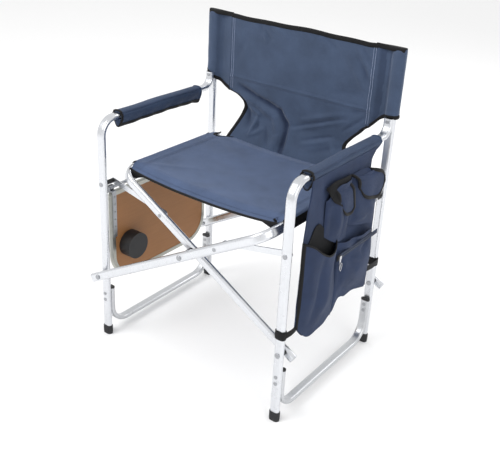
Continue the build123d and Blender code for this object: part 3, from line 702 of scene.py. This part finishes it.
SEAM_X = 0.228
BACK_OUT = 0.3060
SEAT_LINE = 0.496  # where the back is sewn to the seat
BAND_Z = 0.6325    # lower corner of the wide upper band
CUT_ROWS = 52      # rows from the seat up to that corner
LOWER_EDGE = {
    "left": [(SEAT_LINE, 0.214), (0.515, 0.206), (0.540, 0.194), (0.575, 0.180), (0.603, 0.174),
             (0.616, 0.182), (0.628, 0.208), (BAND_Z, SEAM_X)],
    "right": [(SEAT_LINE, 0.214), (0.515, 0.200), (0.540, 0.176), (0.562, 0.166), (0.590, 0.184),
              (0.612, 0.206), (0.628, 0.221), (BAND_Z, SEAM_X)],
}
BACK_FOLDS = [
    ((-196, 652), (-118, 624), 9, 9),
    ((-124, 628), (-52, 606), 10, 11),
    ((-58, 610), (-28, 566), 10, 12),
    ((-29, 580), (-23, 452), 9, 13),
    ((-186, 630), (-124, 608), 12, -6),
    ((-124, 608), (-66, 588), 13, -8),
    ((-66, 588), (-50, 552), 13, -8),
    ((-50, 556), (-48, 490), 13, -7),
    ((-121, 582), (-158, 600), 6, -4),
    ((-122, 584), (-140, 520), 6, -6),
    ((-136, 522), (-98, 546), 6, -4),
    ((-160, 596), (-152, 540), 10, 6),
    ((-118, 560), (-124, 536), 7, 4),
    ((-92, 552), (-72, 500), 8, 4),
    ((-8, 572), (157, 636), 6, 4),
    ((-8, 566), (150, 628), 7, -4),
    ((20, 600), (170, 656), 8, -4),
    ((30, 545), (122, 576), 6, 4),
    ((34, 538), (126, 569), 7, -4),
    ((60, 520), (165, 562), 8, 3),
    ((120, 560), (150, 520), 7, -4),
    ((150, 600), (222, 662), 6, 3),
    ((120, 640), (225, 676), 8, 2.4),
    ((-225, 700), (-160, 820), 12, 1.6),
    ((-140, 838), (-90, 800), 8, 2.2),
    ((-110, 845), (-40, 815), 7, -2.0),
    ((-120, 830), (-108, 790), 6, -1.8),
    ((60, 845), (120, 812), 8, 2.0),
    ((150, 800), (222, 700), 9, -3.0),
    ((168, 812), (224, 735), 8, 2.8),
    ((180, 838), (222, 790), 8, 2.4),
    ((196, 800), (206, 700), 7, 2.0),
    ((100, 700), (222, 720), 12, 1.6),
]


def back_surface(x, z):
    """Distance of the back's cloth from the front of the chair."""
    slope = np.clip((0.575 - z) / 0.081, 0, 1)
    y = POST_Y + 0.0005 - 0.031 * slope ** 1.25
    lean = step(0.680, 0.600, z)
    belly = 0.006 * np.exp(-((z - 0.60) / 0.07) ** 2) * (1 - (x / 0.25) ** 2)
    edge = 1 - 0.75 * step(0.17, 0.24, np.abs(x)) * lean
    seam = -0.0022 * np.exp(-((z - 0.676) / 0.0035) ** 2)
    held = 0.35 + 0.65 * step(SEAT_LINE, 0.520, z)
    return y + belly + seam + (folds(x, z, BACK_FOLDS) * edge + ripple(x, z, 0.11, 0.0012, 5)) * held


def back_grid(half):
    """The back between the two sleeve seams, from the seat to the top: half columns to each side."""
    upper = np.linspace(BAND_Z, TOP - 0.002, 76)[1:]
    z = np.concatenate([np.linspace(SEAT_LINE, BAND_Z, CUT_ROWS), upper])
    left, right = (smooth(LOWER_EDGE[side])(z)[:, None] for side in ("left", "right"))
    s = np.linspace(0, 1, half + 1)[None, :]
    x = np.concatenate([-left * s[:, :0:-1], right * s], axis=1)
    rows = z[:, None] + 0 * x
    wave = 0.0014 * (np.sin(x * 20 + 1.0) + 0.6 * np.sin(x * 47 + 0.4)) * (1 - step(0.20, SEAM_X, np.abs(x)))
    rows = rows + wave * step(0.80, TOP, rows)
    return np.stack([x, back_surface(x, rows), rows], axis=-1)


SLEEVE_OUTLINE = np.array([
    (SEAM_X, -0.0002), (0.238, 0.0020), (0.250, 0.0040), (0.262, 0.0044), (0.2695, 0.0006),
    (0.2765, -0.0070), (0.289, -0.0108), (0.3000, -0.0088), (0.3052, -0.0045), (BACK_OUT, 0.0),
    (0.3052, 0.0050), (0.3000, 0.0092), (0.289, 0.0110), (0.272, 0.0092), (0.252, 0.0068), (SEAM_X, 0.0016),
])
SLEEVE_LOW = {
    "left": [(0.2279, BAND_Z), (0.252, 0.642), (0.272, 0.6545), (0.289, 0.6660), (0.3062, 0.676)],
    "right": [(0.2279, BAND_Z), (0.240, 0.6450), (0.254, 0.6600), (0.270, 0.6690), (0.3062, 0.675)],
}


def sleeve_grid(name, side):
    """Tube of cloth round the top of a rear post: columns run round it, rows up it."""
    reach = np.concatenate([[0], np.cumsum(np.hypot(*np.diff(SLEEVE_OUTLINE, axis=0).T))])
    t = np.linspace(0, reach[-1], 64)
    px, py = (smooth(list(zip(reach, SLEEVE_OUTLINE[:, k])))(t) for k in (0, 1))
    bottom = smooth(SLEEVE_LOW[name])(px)
    v = np.linspace(0, 1, 64)[:, None]
    z = bottom * (1 - v) + (TOP - 0.0015) * v
    x = px + 0 * z
    pinch = 1 - 0.30 * step(TOP - 0.012, TOP, z)
    wrinkle = ripple(x, z, 0.07, 0.0012, 12 + side) * step(0.232, 0.262, x)
    cuff = 0.0012 * np.exp(-((z - bottom - 0.012) / 0.006) ** 2)
    y = POST_Y + (py + np.sign(py) * (np.abs(wrinkle) + cuff)) * pinch
    return np.stack([side * x, y, z], axis=-1)


def back_stitches(name, x, z, thread, **look):
    """Row of stitches on the face of the back at the places given by x and z."""
    path = np.stack([x, back_surface(x, z) - CLOTH / 2, z], axis=1)
    return stitches(name, path, (0, -1, 0), thread, **look)


def back():
    """Both halves of the back, the sleeves over the posts, hems, seams and stitches."""
    half = 84
    grid = back_grid(half)
    columns = {"left": range(0, half + 1), "right": range(half, 2 * half + 1)}
    for name, side in SIDES:
        part = list(columns[name])
        panel = back_half(f"{name}_back_cloth", grid, part)
        own = grid[:, part]
        blended = [
            panel,
            hem(f"{name}_back_cut_hem", own, name, (0.0115, 0.0050), part=slice(0, CUT_ROWS + 1)),
            hem(f"{name}_back_top_hem", own, "top", (0.0125, 0.0058)),
        ]
        for k, height in enumerate((0.6705, 0.6815)):
            x = side * np.linspace(0.004, SEAM_X - 0.003, 80)
            blended.append(back_stitches(f"{name}_back_row_{k}", x, np.full_like(x, height), DARK_THREAD))
        for k, place in enumerate((SEAM_X - 0.004, SEAM_X - 0.0105)):
            z = np.linspace(0.640, TOP - 0.012, 70)
            blended.append(back_stitches(f"{name}_sleeve_seam_{k}", np.full_like(z, side * place), z, THREAD,
                                         pitch=0.0034, radius=0.00058))
        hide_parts(f"{name}_back_panel", *(["back_centre", "back_lower"] if side < 0 else []))
        for piece in blended:
            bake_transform(piece)
        sleeve(name, side)


def back_half(name, grid, part):
    """One half of the back, shaded as part of the whole cloth so that no line shows between, with painted shade
    in the valleys of its folds.
    """
    depth = folds(grid[..., 0], grid[..., 2], BACK_FOLDS)
    # painted shade: the deeper a fold's valley, the darker the cloth is painted
    return cloth(name, grid, BACK_CLOTH, columns=part, shade=np.clip(depth / 0.0075 - 0.08, 0, 1))


def sleeve(name, side):
    """Sleeve over a post, its slanting lower hem and its top binding."""
    body = f"{name}_frame"
    grid = sleeve_grid(name, side)
    out, face = np.abs(grid[..., 0]), grid[..., 1] < POST_Y + 0.0046
    # painted shade in the hollow between the seam and the post, on the right sleeve only, where the light
    # leaves it dark
    painted_hollow_shade = step(0.229, 0.240, out) * (1 - step(0.262, 0.273, out)) * face * (0.55 if side > 0 else 0.0)
    piece = cloth(f"{name}_post_sleeve", grid, BACK_CLOTH, body, shade=painted_hollow_shade)
    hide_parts(f"{name}_back_sleeve")
    hem(f"{name}_sleeve_low_hem", grid, "bottom", (0.0110, 0.0048), body)
    sleeve_cap(f"{name}_sleeve_cap", side, body)


def sleeve_cap(name, side, body):
    """Binding sewn across the closed top of a sleeve, fuller where the post lies under it."""
    x = np.linspace(SEAM_X - 0.004, BACK_OUT - 0.0004, 34)
    over = step(0.240, 0.276, x) * (1 - 0.85 * step(0.3015, 0.3062, x))
    half_t = 0.0029 + 0.0070 * over
    rings = []
    for px, t in zip(x, half_t):
        section = oval(t, 0.0062, 16, 3.4)
        rings.append([(side * px, POST_Y + 0.0003 + a, TOP - 0.0046 + b) for a, b in section])
    return tube(name, np.array(rings), BLACK_TAPE, body)


# ---- arm pads ----

PAD_HALF_W = 0.0162
PAD_SIDES = 44
PAD_SLACK_W = 0.0007  # room between the tube and the pad's lining
PAD_SLACK_T = 0.0008


def pad_outline(flare):
    """Section of a pad hanging on the arm: round over the tube, gathered to a seam below."""
    angle = turn_angles(PAD_SIDES)
    c, s = np.cos(angle), np.sin(angle)
    half_w = np.where(s > -0.15, PAD_HALF_W, PAD_HALF_W - 0.0062 * step(0.0, 1.0, -s))
    x = half_w * np.sign(c) * np.abs(c) ** 0.72
    return x, np.where(s > 0, s * 0.0125, s * (0.030 + flare))


def arm_pad(name, side):
    """Padded sleeve round an arm, with bound ends, a seam below and quilting lines."""
    body = f"{name}_frame"
    places = np.linspace(0, 1, 64)
    outer, inner = [], []
    for t in places:
        y = PAD_LOW.y + (PAD_HIGH.y - PAD_LOW.y) * t
        x, z = pad_outline(0.006 * step(0.9, 1.0, t) if side < 0 else 0.0015)
        swell = 1 + 0.035 * math.sin(t * math.pi) + 0.012 * math.sin(t * 23.0 + side)
        pull = 0.0010 * math.sin(t * 37.0 + 1.3) * (z < -0.008)
        crease = 0.0022 * np.exp(-((z - 0.0062) / 0.0016) ** 2) - 0.0010 * np.exp(-((z - 0.0096) / 0.0014) ** 2)
        tail = np.clip(-z, 0, 0.03) * (1.15 * step(0.75, 1.0, t) if side > 0 else 0.0)
        px = side * LEG_X + (x * swell - np.sign(x) * crease) + pull
        pz = ARM_Z + z * (1 + 0.02 * math.sin(t * 17.0)) - 0.0008 * math.sin(t * 9.0)
        outer.append(np.stack([px, y - tail, pz], axis=1))
        x, z = pad_outline(0)
        px = side * LEG_X + np.clip(x, -TUBE_HALF_W - PAD_SLACK_W, TUBE_HALF_W + PAD_SLACK_W)
        pz = ARM_Z + np.clip(z, -TUBE_HALF_T - PAD_SLACK_T, TUBE_HALF_T + PAD_SLACK_T)
        inner.append(np.stack([px, np.full_like(px, y), pz], axis=1))
    outer = np.array(outer)
    piece = tube(f"{name}_pad", np.concatenate([outer, inner[::-1]]), PAD_CLOTH, body, closed=True)
    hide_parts(f"{name}_arm_pad")
    for end, row, inward, size, material, slot in (
        ("front", outer[0], (0, 1, 0), (0.0075, 0.0044), BLACK_TAPE, "black_webbing"),
        ("rear", outer[-1], (0, -1, 0), (0.0050, 0.0030), PAD_CLOTH, "pad_fabric"),
    ):
        outwards = unit(row - row.mean(axis=0))
        ring = tape(f"{name}_pad_{end}_binding", row, inward, outwards, size, material, body, closed=True)
    if side < 0:
        keel = outer[:, int(PAD_SIDES * 0.60):int(PAD_SIDES * 0.90) + 1]
        away = unit(keel - outer.mean(axis=1)[:, None])
        cloth(f"{name}_pad_underside", keel + away * 0.0012, BLACK_TAPE, body, thickness=0.0012)
    for k, turn in enumerate((0.12, 0.38)):
        path = outer[2:-2, int(turn * PAD_SIDES)]
        normal = (math.cos(turn * 2 * math.pi), 0, 0.4)
        stitches(f"{name}_pad_seam_{k}", path, normal, DARK_THREAD, body)


# ---- organiser ----

BOTTOM = smooth([(-0.192, 0.262), (-0.158, 0.222), (-0.120, 0.220), (-0.062, 0.226), (-0.034, 0.232),
                 (-0.026, 0.247), (0.020, 0.250), (0.055, 0.250), (0.100, 0.238), (0.140, 0.226)])
FRONT_EDGE = smooth([(0.215, -0.190), (0.262, -0.192), (0.400, -0.189), (0.490, -0.186), (0.560, -0.178),
                     (0.625, -0.165)])
BAG_BODY = "right_frame"


def bag_sheet(name, node, y_span, low, high, out, size, seed, uneven,
              pleats=(), shear=None, least=0.0008, black_net=False):
    """Sheet of the organiser, put in the place of a CAD node if one is given. Returns its grid.

    y_span is its run from front to rear, low and high its lower and upper edges along it, out its height
    off the panel and least the smallest, size its columns and rows, pleats its folds, and shear what
    slants its sides. seed and uneven are the ripple's."""
    cols, rows = size
    s = np.linspace(0, 1, cols)[None, :]
    t = np.linspace(0, 1, rows)[:, None]
    y = y_span[0] + (y_span[1] - y_span[0]) * s + 0 * t
    z = low(y) * (1 - t) + high(y) * t
    if shear:
        y = y + shear(s, z)
    x = PANEL_X + out(s, t, z)
    x = x + folds(y, z, pleats)
    x = x + ripple(y, z, 0.08, uneven, seed)
    grid = np.stack([np.maximum(x, PANEL_X + least), y, z], axis=-1)
    material, thickness = (BLACK_MESH, 0.001) if black_net else (BAG_CLOTH, CLOTH)
    piece = cloth(name, grid, material, BAG_BODY, facing=OUTWARD, thickness=thickness)
    if node:
        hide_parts(node)
    return grid


def dome(s, power=0.55):
    """Height of a filled pocket: full in the middle, down to nothing at its sides."""
    return np.sin(np.pi * np.clip(s, 0, 1)) ** power


def filled(depth, power, foot, reach):
    """Height of a filled pocket off the panel, drawn in towards its foot."""
    return lambda s, t, z: 0.001 + depth * dome(s, power) * (foot + (1 - foot) * step(0.0, reach, t))


def organiser():
    """Panel under the right arm with its pockets, flaps, zip, bindings and straps."""
    panel = bag_sheet(
        "organiser_back", "organiser_panel", (-0.192, 0.150), BOTTOM, lambda y: 0.628,
        lambda s, t, z: -0.0012 - 0.0012 * step(0.600, 0.625, z),
        (70, 90), 21, 0.0009,
        pleats=[((-175, 600), (-150, 300), 20, 2.0), ((-120, 610), (-100, 520), 12, -1.6)],
        shear=lambda s, z: (FRONT_EDGE(z) + 0.192) * (1 - s)
        - s ** 3 * (0.048 * step(0.528, 0.574, z) - 0.022 * step(0.600, 0.628, z)),
        least=-0.0035)
    edge = hem("organiser_front_hem", panel, "left", (0.0060, 0.0036), BAG_BODY, material=BAG_CLOTH)
    mouth = smooth([(-0.190, 0.486), (-0.168, 0.474), (-0.135, 0.446), (-0.100, 0.428), (-0.072, 0.428),
                    (-0.044, 0.446)])
    bottle = bag_sheet(
        "bottle_pouch", "bottle_pocket", (-0.191, -0.044), BOTTOM, mouth, filled(0.026, 0.6, 0.35, 0.45),
        (56, 80), 31, 0.0014,
        pleats=[((-125, 440), (-146, 262), 13, -7), ((-92, 410), (-120, 250), 14, 3),
                ((-60, 400), (-58, 260), 12, -3), ((-165, 430), (-170, 290), 13, 3)],
        shear=lambda s, z: 0.014 * s * step(0.40, 0.25, z))
    hem("bottle_mouth_hem", bottle, "top", (0.0050, 0.0036), BAG_BODY)
    bag_sheet(
        "bottle_lining", None, (-0.186, -0.048), lambda y: 0.395,
        smooth([(-0.186, 0.470), (-0.168, 0.478), (-0.146, 0.508), (-0.130, 0.512), (-0.100, 0.486),
                (-0.070, 0.450), (-0.048, 0.430)]),
        lambda s, t, z: 0.0022, (40, 30), 5, 0.0003, least=0.002, black_net=True)
    hem("bottle_side_hem", bottle, "left", (0.0100, 0.0044), BAG_BODY)
    zip_pouch()
    upper_pockets()
    straps()


def zip_pouch():
    """Wide lower pocket, crumpled along its top, with the zip across it."""
    track_low, track_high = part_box("zip_track")
    track_z = middle("zip_track").z
    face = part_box("zip_pocket")[1].x - PANEL_X
    bag_sheet(
        "zip_pouch", "zip_pocket", (-0.046, 0.140), BOTTOM,
        smooth([(-0.048, 0.432), (-0.010, 0.424), (0.040, 0.420), (0.100, 0.416), (0.138, 0.400)]),
        lambda s, t, z: (
            (0.001 + (face - 0.002) * dome(s, 0.42)) * (0.25 + 0.75 * step(0.0, 0.35, t))
            + 0.010 * dome(s) * np.exp(-((z - 0.335) / 0.035) ** 2)
        ),
        (64, 72), 41, 0.0012,
        pleats=[((-30, 424), (10, 404), 8, 5), ((10, 424), (60, 400), 8, -5), ((40, 420), (110, 412), 9, 6),
                ((20, 372), (100, 346), 9, 5), ((0, 360), (40, 330), 9, -4), ((60, 372), (120, 392), 9, -5),
                ((30, 300), (100, 262), 12, 3), ((-30, 380), (-20, 280), 10, -3)],
        shear=lambda s, z: 0.014 * (1 - s) * step(0.40, 0.25, z))
    y = np.linspace(track_low.y - 0.004, track_high.y + 0.004, 60)
    path = np.stack([np.full_like(y, track_high.x - 0.0006), y, np.full_like(y, track_z + 0.0068)], axis=1)
    band = tape("zip_tape", path, DOWN, OUTWARD, (0.0140, 0.0014), ZIP_TAPE, BAG_BODY)
    end = path[:5] + np.array([0.0006, 0, 0.0005])
    tape("zip_front_stop", end, DOWN, OUTWARD, (0.0155, 0.0020), BLACK_TAPE, BAG_BODY)
    pull_ring()
    teeth(track_low, track_high, track_z)


def pull_ring():
    """Wire pull hanging from the zip slider."""
    low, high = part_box("zip_slider")
    angle = turn_angles(48)
    reach = 0.0125
    centre = Vector((high.x + 0.0006, (low.y + high.y) / 2 + 0.003, low.z + 0.006))
    path = np.stack([
        centre.x + 0 * angle,
        centre.y + 0.0052 * np.sin(angle) * (1 - 0.25 * np.cos(angle)),
        centre.z - reach * np.cos(angle) * 0.9,
    ], axis=1)
    outwards = unit(path - np.array(centre))
    ring = tape("zip_pull_ring", path, -outwards, OUTWARD, (0.0019, 0.0018), ZIP_METAL, "zip_slider_body",
                closed=True)


def teeth(track_low, track_high, track_z):
    """Two interleaved rows of zip teeth."""
    pitch = 0.0018
    half = 0.0030
    tooth = 0.0009
    tall = half * 0.9
    count = int((track_high.y - track_low.y) / pitch)
    verts, faces = [], []
    corners = [(0, 0, 0), (1, 0, 0), (1, 1, 0), (0, 1, 0), (0, 0, 1), (1, 0, 1), (1, 1, 1), (0, 1, 1)]
    sides = [(0, 3, 2, 1), (4, 5, 6, 7), (0, 1, 5, 4), (1, 2, 6, 5), (2, 3, 7, 6), (3, 0, 4, 7)]
    for k in range(count):
        for row, drop in ((0, 0.75), (1, 0.15)):
            base = len(verts)
            y = track_low.y + (k + 0.5 * row) * pitch
            z = track_z - half * drop
            verts += [(track_high.x - 0.0002 + a * tooth, y + b * tooth, z + c * tall) for a, b, c in corners]
            faces += [tuple(base + i for i in side) for side in sides]
    mesh = new_mesh("zip_teeth", np.array(verts), faces)
    mesh.polygons.foreach_set("use_smooth", [False] * len(faces))
    piece = link(mesh, "zip_teeth", ZIP_TEETH, BAG_BODY)
    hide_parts("zip_track")


def upper_pockets():
    """Small tongue-flapped pocket and the large flapped pocket beside it."""
    bag_sheet(
        "small_pouch", "small_pocket", (-0.106, 0.004),
        smooth([(-0.106, 0.470), (-0.060, 0.440), (0.004, 0.428)]),
        smooth([(-0.106, 0.560), (-0.080, 0.588), (-0.040, 0.590), (0.004, 0.586)]),
        filled(0.0155, 0.6, 0.4, 0.4), (44, 56), 51, 0.0012,
        pleats=[((-70, 560), (-56, 460), 9, 4), ((-40, 540), (-30, 450), 8, -4),
                ((-90, 540), (-84, 470), 9, -4)])
    bag_sheet(
        "small_mesh", None, (-0.113, -0.006),
        smooth([(-0.113, 0.590), (-0.098, 0.563), (-0.075, 0.546), (-0.050, 0.532), (0.0, 0.522)]),
        smooth([(-0.113, 0.596), (-0.100, 0.602), (-0.040, 0.602), (0.0, 0.598)]),
        lambda s, t, z: 0.0035 + 0.0160 * dome(s, 0.5) * (1 - 0.55 * t),
        (30, 24), 6, 0.0004, black_net=True)
    bag_sheet(
        "large_pouch", "large_pocket", (0.000, 0.136),
        smooth([(0.000, 0.462), (0.060, 0.444), (0.134, 0.424)]),
        lambda y: 0.588 - 0.050 * step(0.072, 0.134, y),
        filled(0.0185, 0.5, 0.5, 0.35), (50, 56), 61, 0.0012,
        pleats=[((20, 470), (70, 462), 8, 4), ((60, 520), (120, 440), 12, 3), ((10, 520), (20, 470), 9, -4)])
    flap("small_lid", "small_flap", "small_flap_body",
         [(0.0, -0.092, 0.5868), (0.5, -0.060, 0.5874), (1.0, -0.022, 0.5868)],
         [(0.0, -0.062, 0.541), (0.3, -0.046, 0.514), (0.6, -0.026, 0.502), (0.85, -0.006, 0.504),
          (1.0, 0.002, 0.518)],
         0.0205, 0)
    flap("large_lid", "large_flap", "large_flap_body",
         [(0.0, 0.000, 0.5905), (0.35, 0.048, 0.5915), (0.7, 0.100, 0.584), (0.9, 0.126, 0.567),
          (1.0, 0.134, 0.550)],
         [(0.0, 0.022, 0.556), (0.25, 0.044, 0.526), (0.5, 0.076, 0.512), (0.8, 0.118, 0.507),
          (1.0, 0.142, 0.530)],
         0.0235, 1)


def flap(name, node, body, top, bottom, out, loose):
    """Flap out over its pocket and down. top and bottom give (share, y, z) along its two long edges.

    loose is 1 where the far end of its top edge stands free of the panel."""
    cols = 48
    t = np.linspace(0, 1, 40)[:, None]
    s = np.linspace(0, 1, cols)
    (top_y, top_z), (bottom_y, bottom_z) = (
        [smooth([(p[0], p[k]) for p in points])(s)[None, :] for k in (1, 2)] for points in (top, bottom)
    )
    y = top_y * (1 - t) + bottom_y * t
    z = top_z * (1 - t ** 1.2) + bottom_z * t ** 1.2
    edge_height = 0.62 + 0.30 * s
    crown = (edge_height + (1 - edge_height) * np.clip(np.sin(math.pi * s), 0, 1) ** 0.6)[None, :]
    lift = np.sin(np.clip(t / 0.36, 0, 1) * math.pi / 2)
    lift = lift + (1 - lift) * loose * step(0.38, 0.72, s)[None, :]
    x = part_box(node)[0].x + 0.0012 + out * lift * crown - 0.003 * step(0.5, 1.0, t)
    x = x + 0.0010 * np.sin(y * 110 + 1.0) * step(0.2, 1.0, t)
    grid = np.stack([x, y, z], axis=-1)
    piece = cloth(name, grid, BAG_CLOTH, body, facing=OUTWARD, thickness=0.0018)
    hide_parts(node)
    bound = [("left", None), ("right", None), ("top", None)]
    if loose:
        bound.append(("bottom", slice(int(cols * 0.5), cols)))
    for side, part in bound:
        hem(f"{name}_{side}_hem", grid, side, (0.0105, 0.0058), body, part)


def strap_loop(name, leg_y, z, panel_y, slope):
    """Webbing round a leg and out to the organiser's edge."""
    angle = turn_angles(40)
    c, s = np.cos(angle), np.sin(angle)
    flat_side = TUBE_HALF_W - TUBE_HALF_T
    px = LEG_X + np.sign(c) * np.minimum(np.abs(c) * (TUBE_HALF_W + 0.004),
                                         flat_side + np.abs(c) * (TUBE_HALF_T + 0.0012))
    py = leg_y + s * (TUBE_HALF_T + 0.0013)
    top = z + 0.010
    path = np.stack([px, py, np.full_like(px, top)], axis=1)
    outward = unit(path - np.array([LEG_X, leg_y, top]))
    band = tape(f"{name}_band", path, DOWN, outward, (0.024, 0.0022), BLACK_TAPE, BAG_BODY, closed=True)
    t = np.linspace(0, 1, 16)
    start = np.array([LEG_X + TUBE_HALF_W + 0.0014, leg_y, z + 0.009])
    end = np.array([PANEL_X - 0.0010, panel_y, z + 0.009 + slope])
    path = start + (end - start) * t[:, None]
    path[:, 0] += 0.002 * np.sin(t * math.pi)
    tape(f"{name}_tail", path, DOWN, OUTWARD, (0.018, 0.0019), BLACK_TAPE, BAG_BODY)
    return band


def straps():
    """The two webbing straps that hold the organiser to the legs."""
    low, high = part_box("organiser_straps")
    front = strap_loop("front_strap", -POST_Y, low.z + 0.010, -0.186, 0.006)
    strap_loop("rear_strap", POST_Y, high.z - 0.012, 0.150, 0.010)
    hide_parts("organiser_straps")


# ---- stage ----

def camera():
    """The view from the right, front and above, with the lens a little off centre."""
    data = bpy.data.cameras.new("view")
    data.sensor_width = 36.0
    data.lens = 56.35
    data.shift_x = -0.0237
    data.shift_y = -0.0408
    data.clip_end = 50
    forward = Vector((-0.5103, 0.7419, -0.4349)).normalized()
    right = Vector((0.8074, 0.5874, 0.0547)).normalized()
    up = right.cross(forward).normalized()
    right = forward.cross(up).normalized()
    turn = Matrix((right, up, -forward)).transposed().to_4x4()
    view = bpy.data.objects.new("view", data)
    view.matrix_world = Matrix.Translation((1.1014, -1.5097, 1.2941)) @ turn
    bpy.context.scene.collection.objects.link(view)
    bpy.context.scene.camera = view


def area_light(name, place, aim, size, power):
    """Large soft light."""
    data = bpy.data.lights.new(name, "AREA")
    data.shape = "DISK"
    data.size = size
    data.energy = power
    light = bpy.data.objects.new(name, data)
    light.location = place
    light.rotation_euler = (Vector(aim) - Vector(place)).to_track_quat("-Z", "Y").to_euler()
    bpy.context.scene.collection.objects.link(light)


def studio():
    """Pale floor, white surroundings and three soft lights."""
    floor_mesh = bpy.data.meshes.new("floor")
    reach = 12.0
    floor_mesh.from_pydata([(-reach, -reach, 0), (reach, -reach, 0), (reach, reach, 0), (-reach, reach, 0)],
                           [], [(0, 1, 2, 3)])
    floor = bpy.data.objects.new("floor", floor_mesh)
    material, _, main = shader("floor_paper")
    main.inputs["Base Color"].default_value = (0.95, 0.95, 0.95, 1)
    main.inputs["Roughness"].default_value = 0.9
    main.inputs["Specular IOR Level"].default_value = 0.1
    floor_mesh.materials.append(material)
    bpy.context.scene.collection.objects.link(floor)
    world = bpy.data.worlds.new("studio")
    world.use_nodes = True
    world.node_tree.nodes["Background"].inputs["Color"].default_value = (1, 1, 1, 1)
    world.node_tree.nodes["Background"].inputs["Strength"].default_value = 0.92
    bpy.context.scene.world = world
    area_light("key", (-1.2, -2.2, 3.0), (0, 0, 0.4), 2.2, 60)
    area_light("fill", (2.6, -1.0, 1.8), (0, 0, 0.4), 2.0, 16)
    area_light("rim", (0.6, 2.4, 2.4), (0, 0, 0.5), 2.0, 22)
    bpy.context.scene.view_settings.view_transform = "Standard"


camera()
studio()
dress_cad()
seat()
back()
for pad_name, pad_side in SIDES:
    arm_pad(pad_name, pad_side)
organiser()
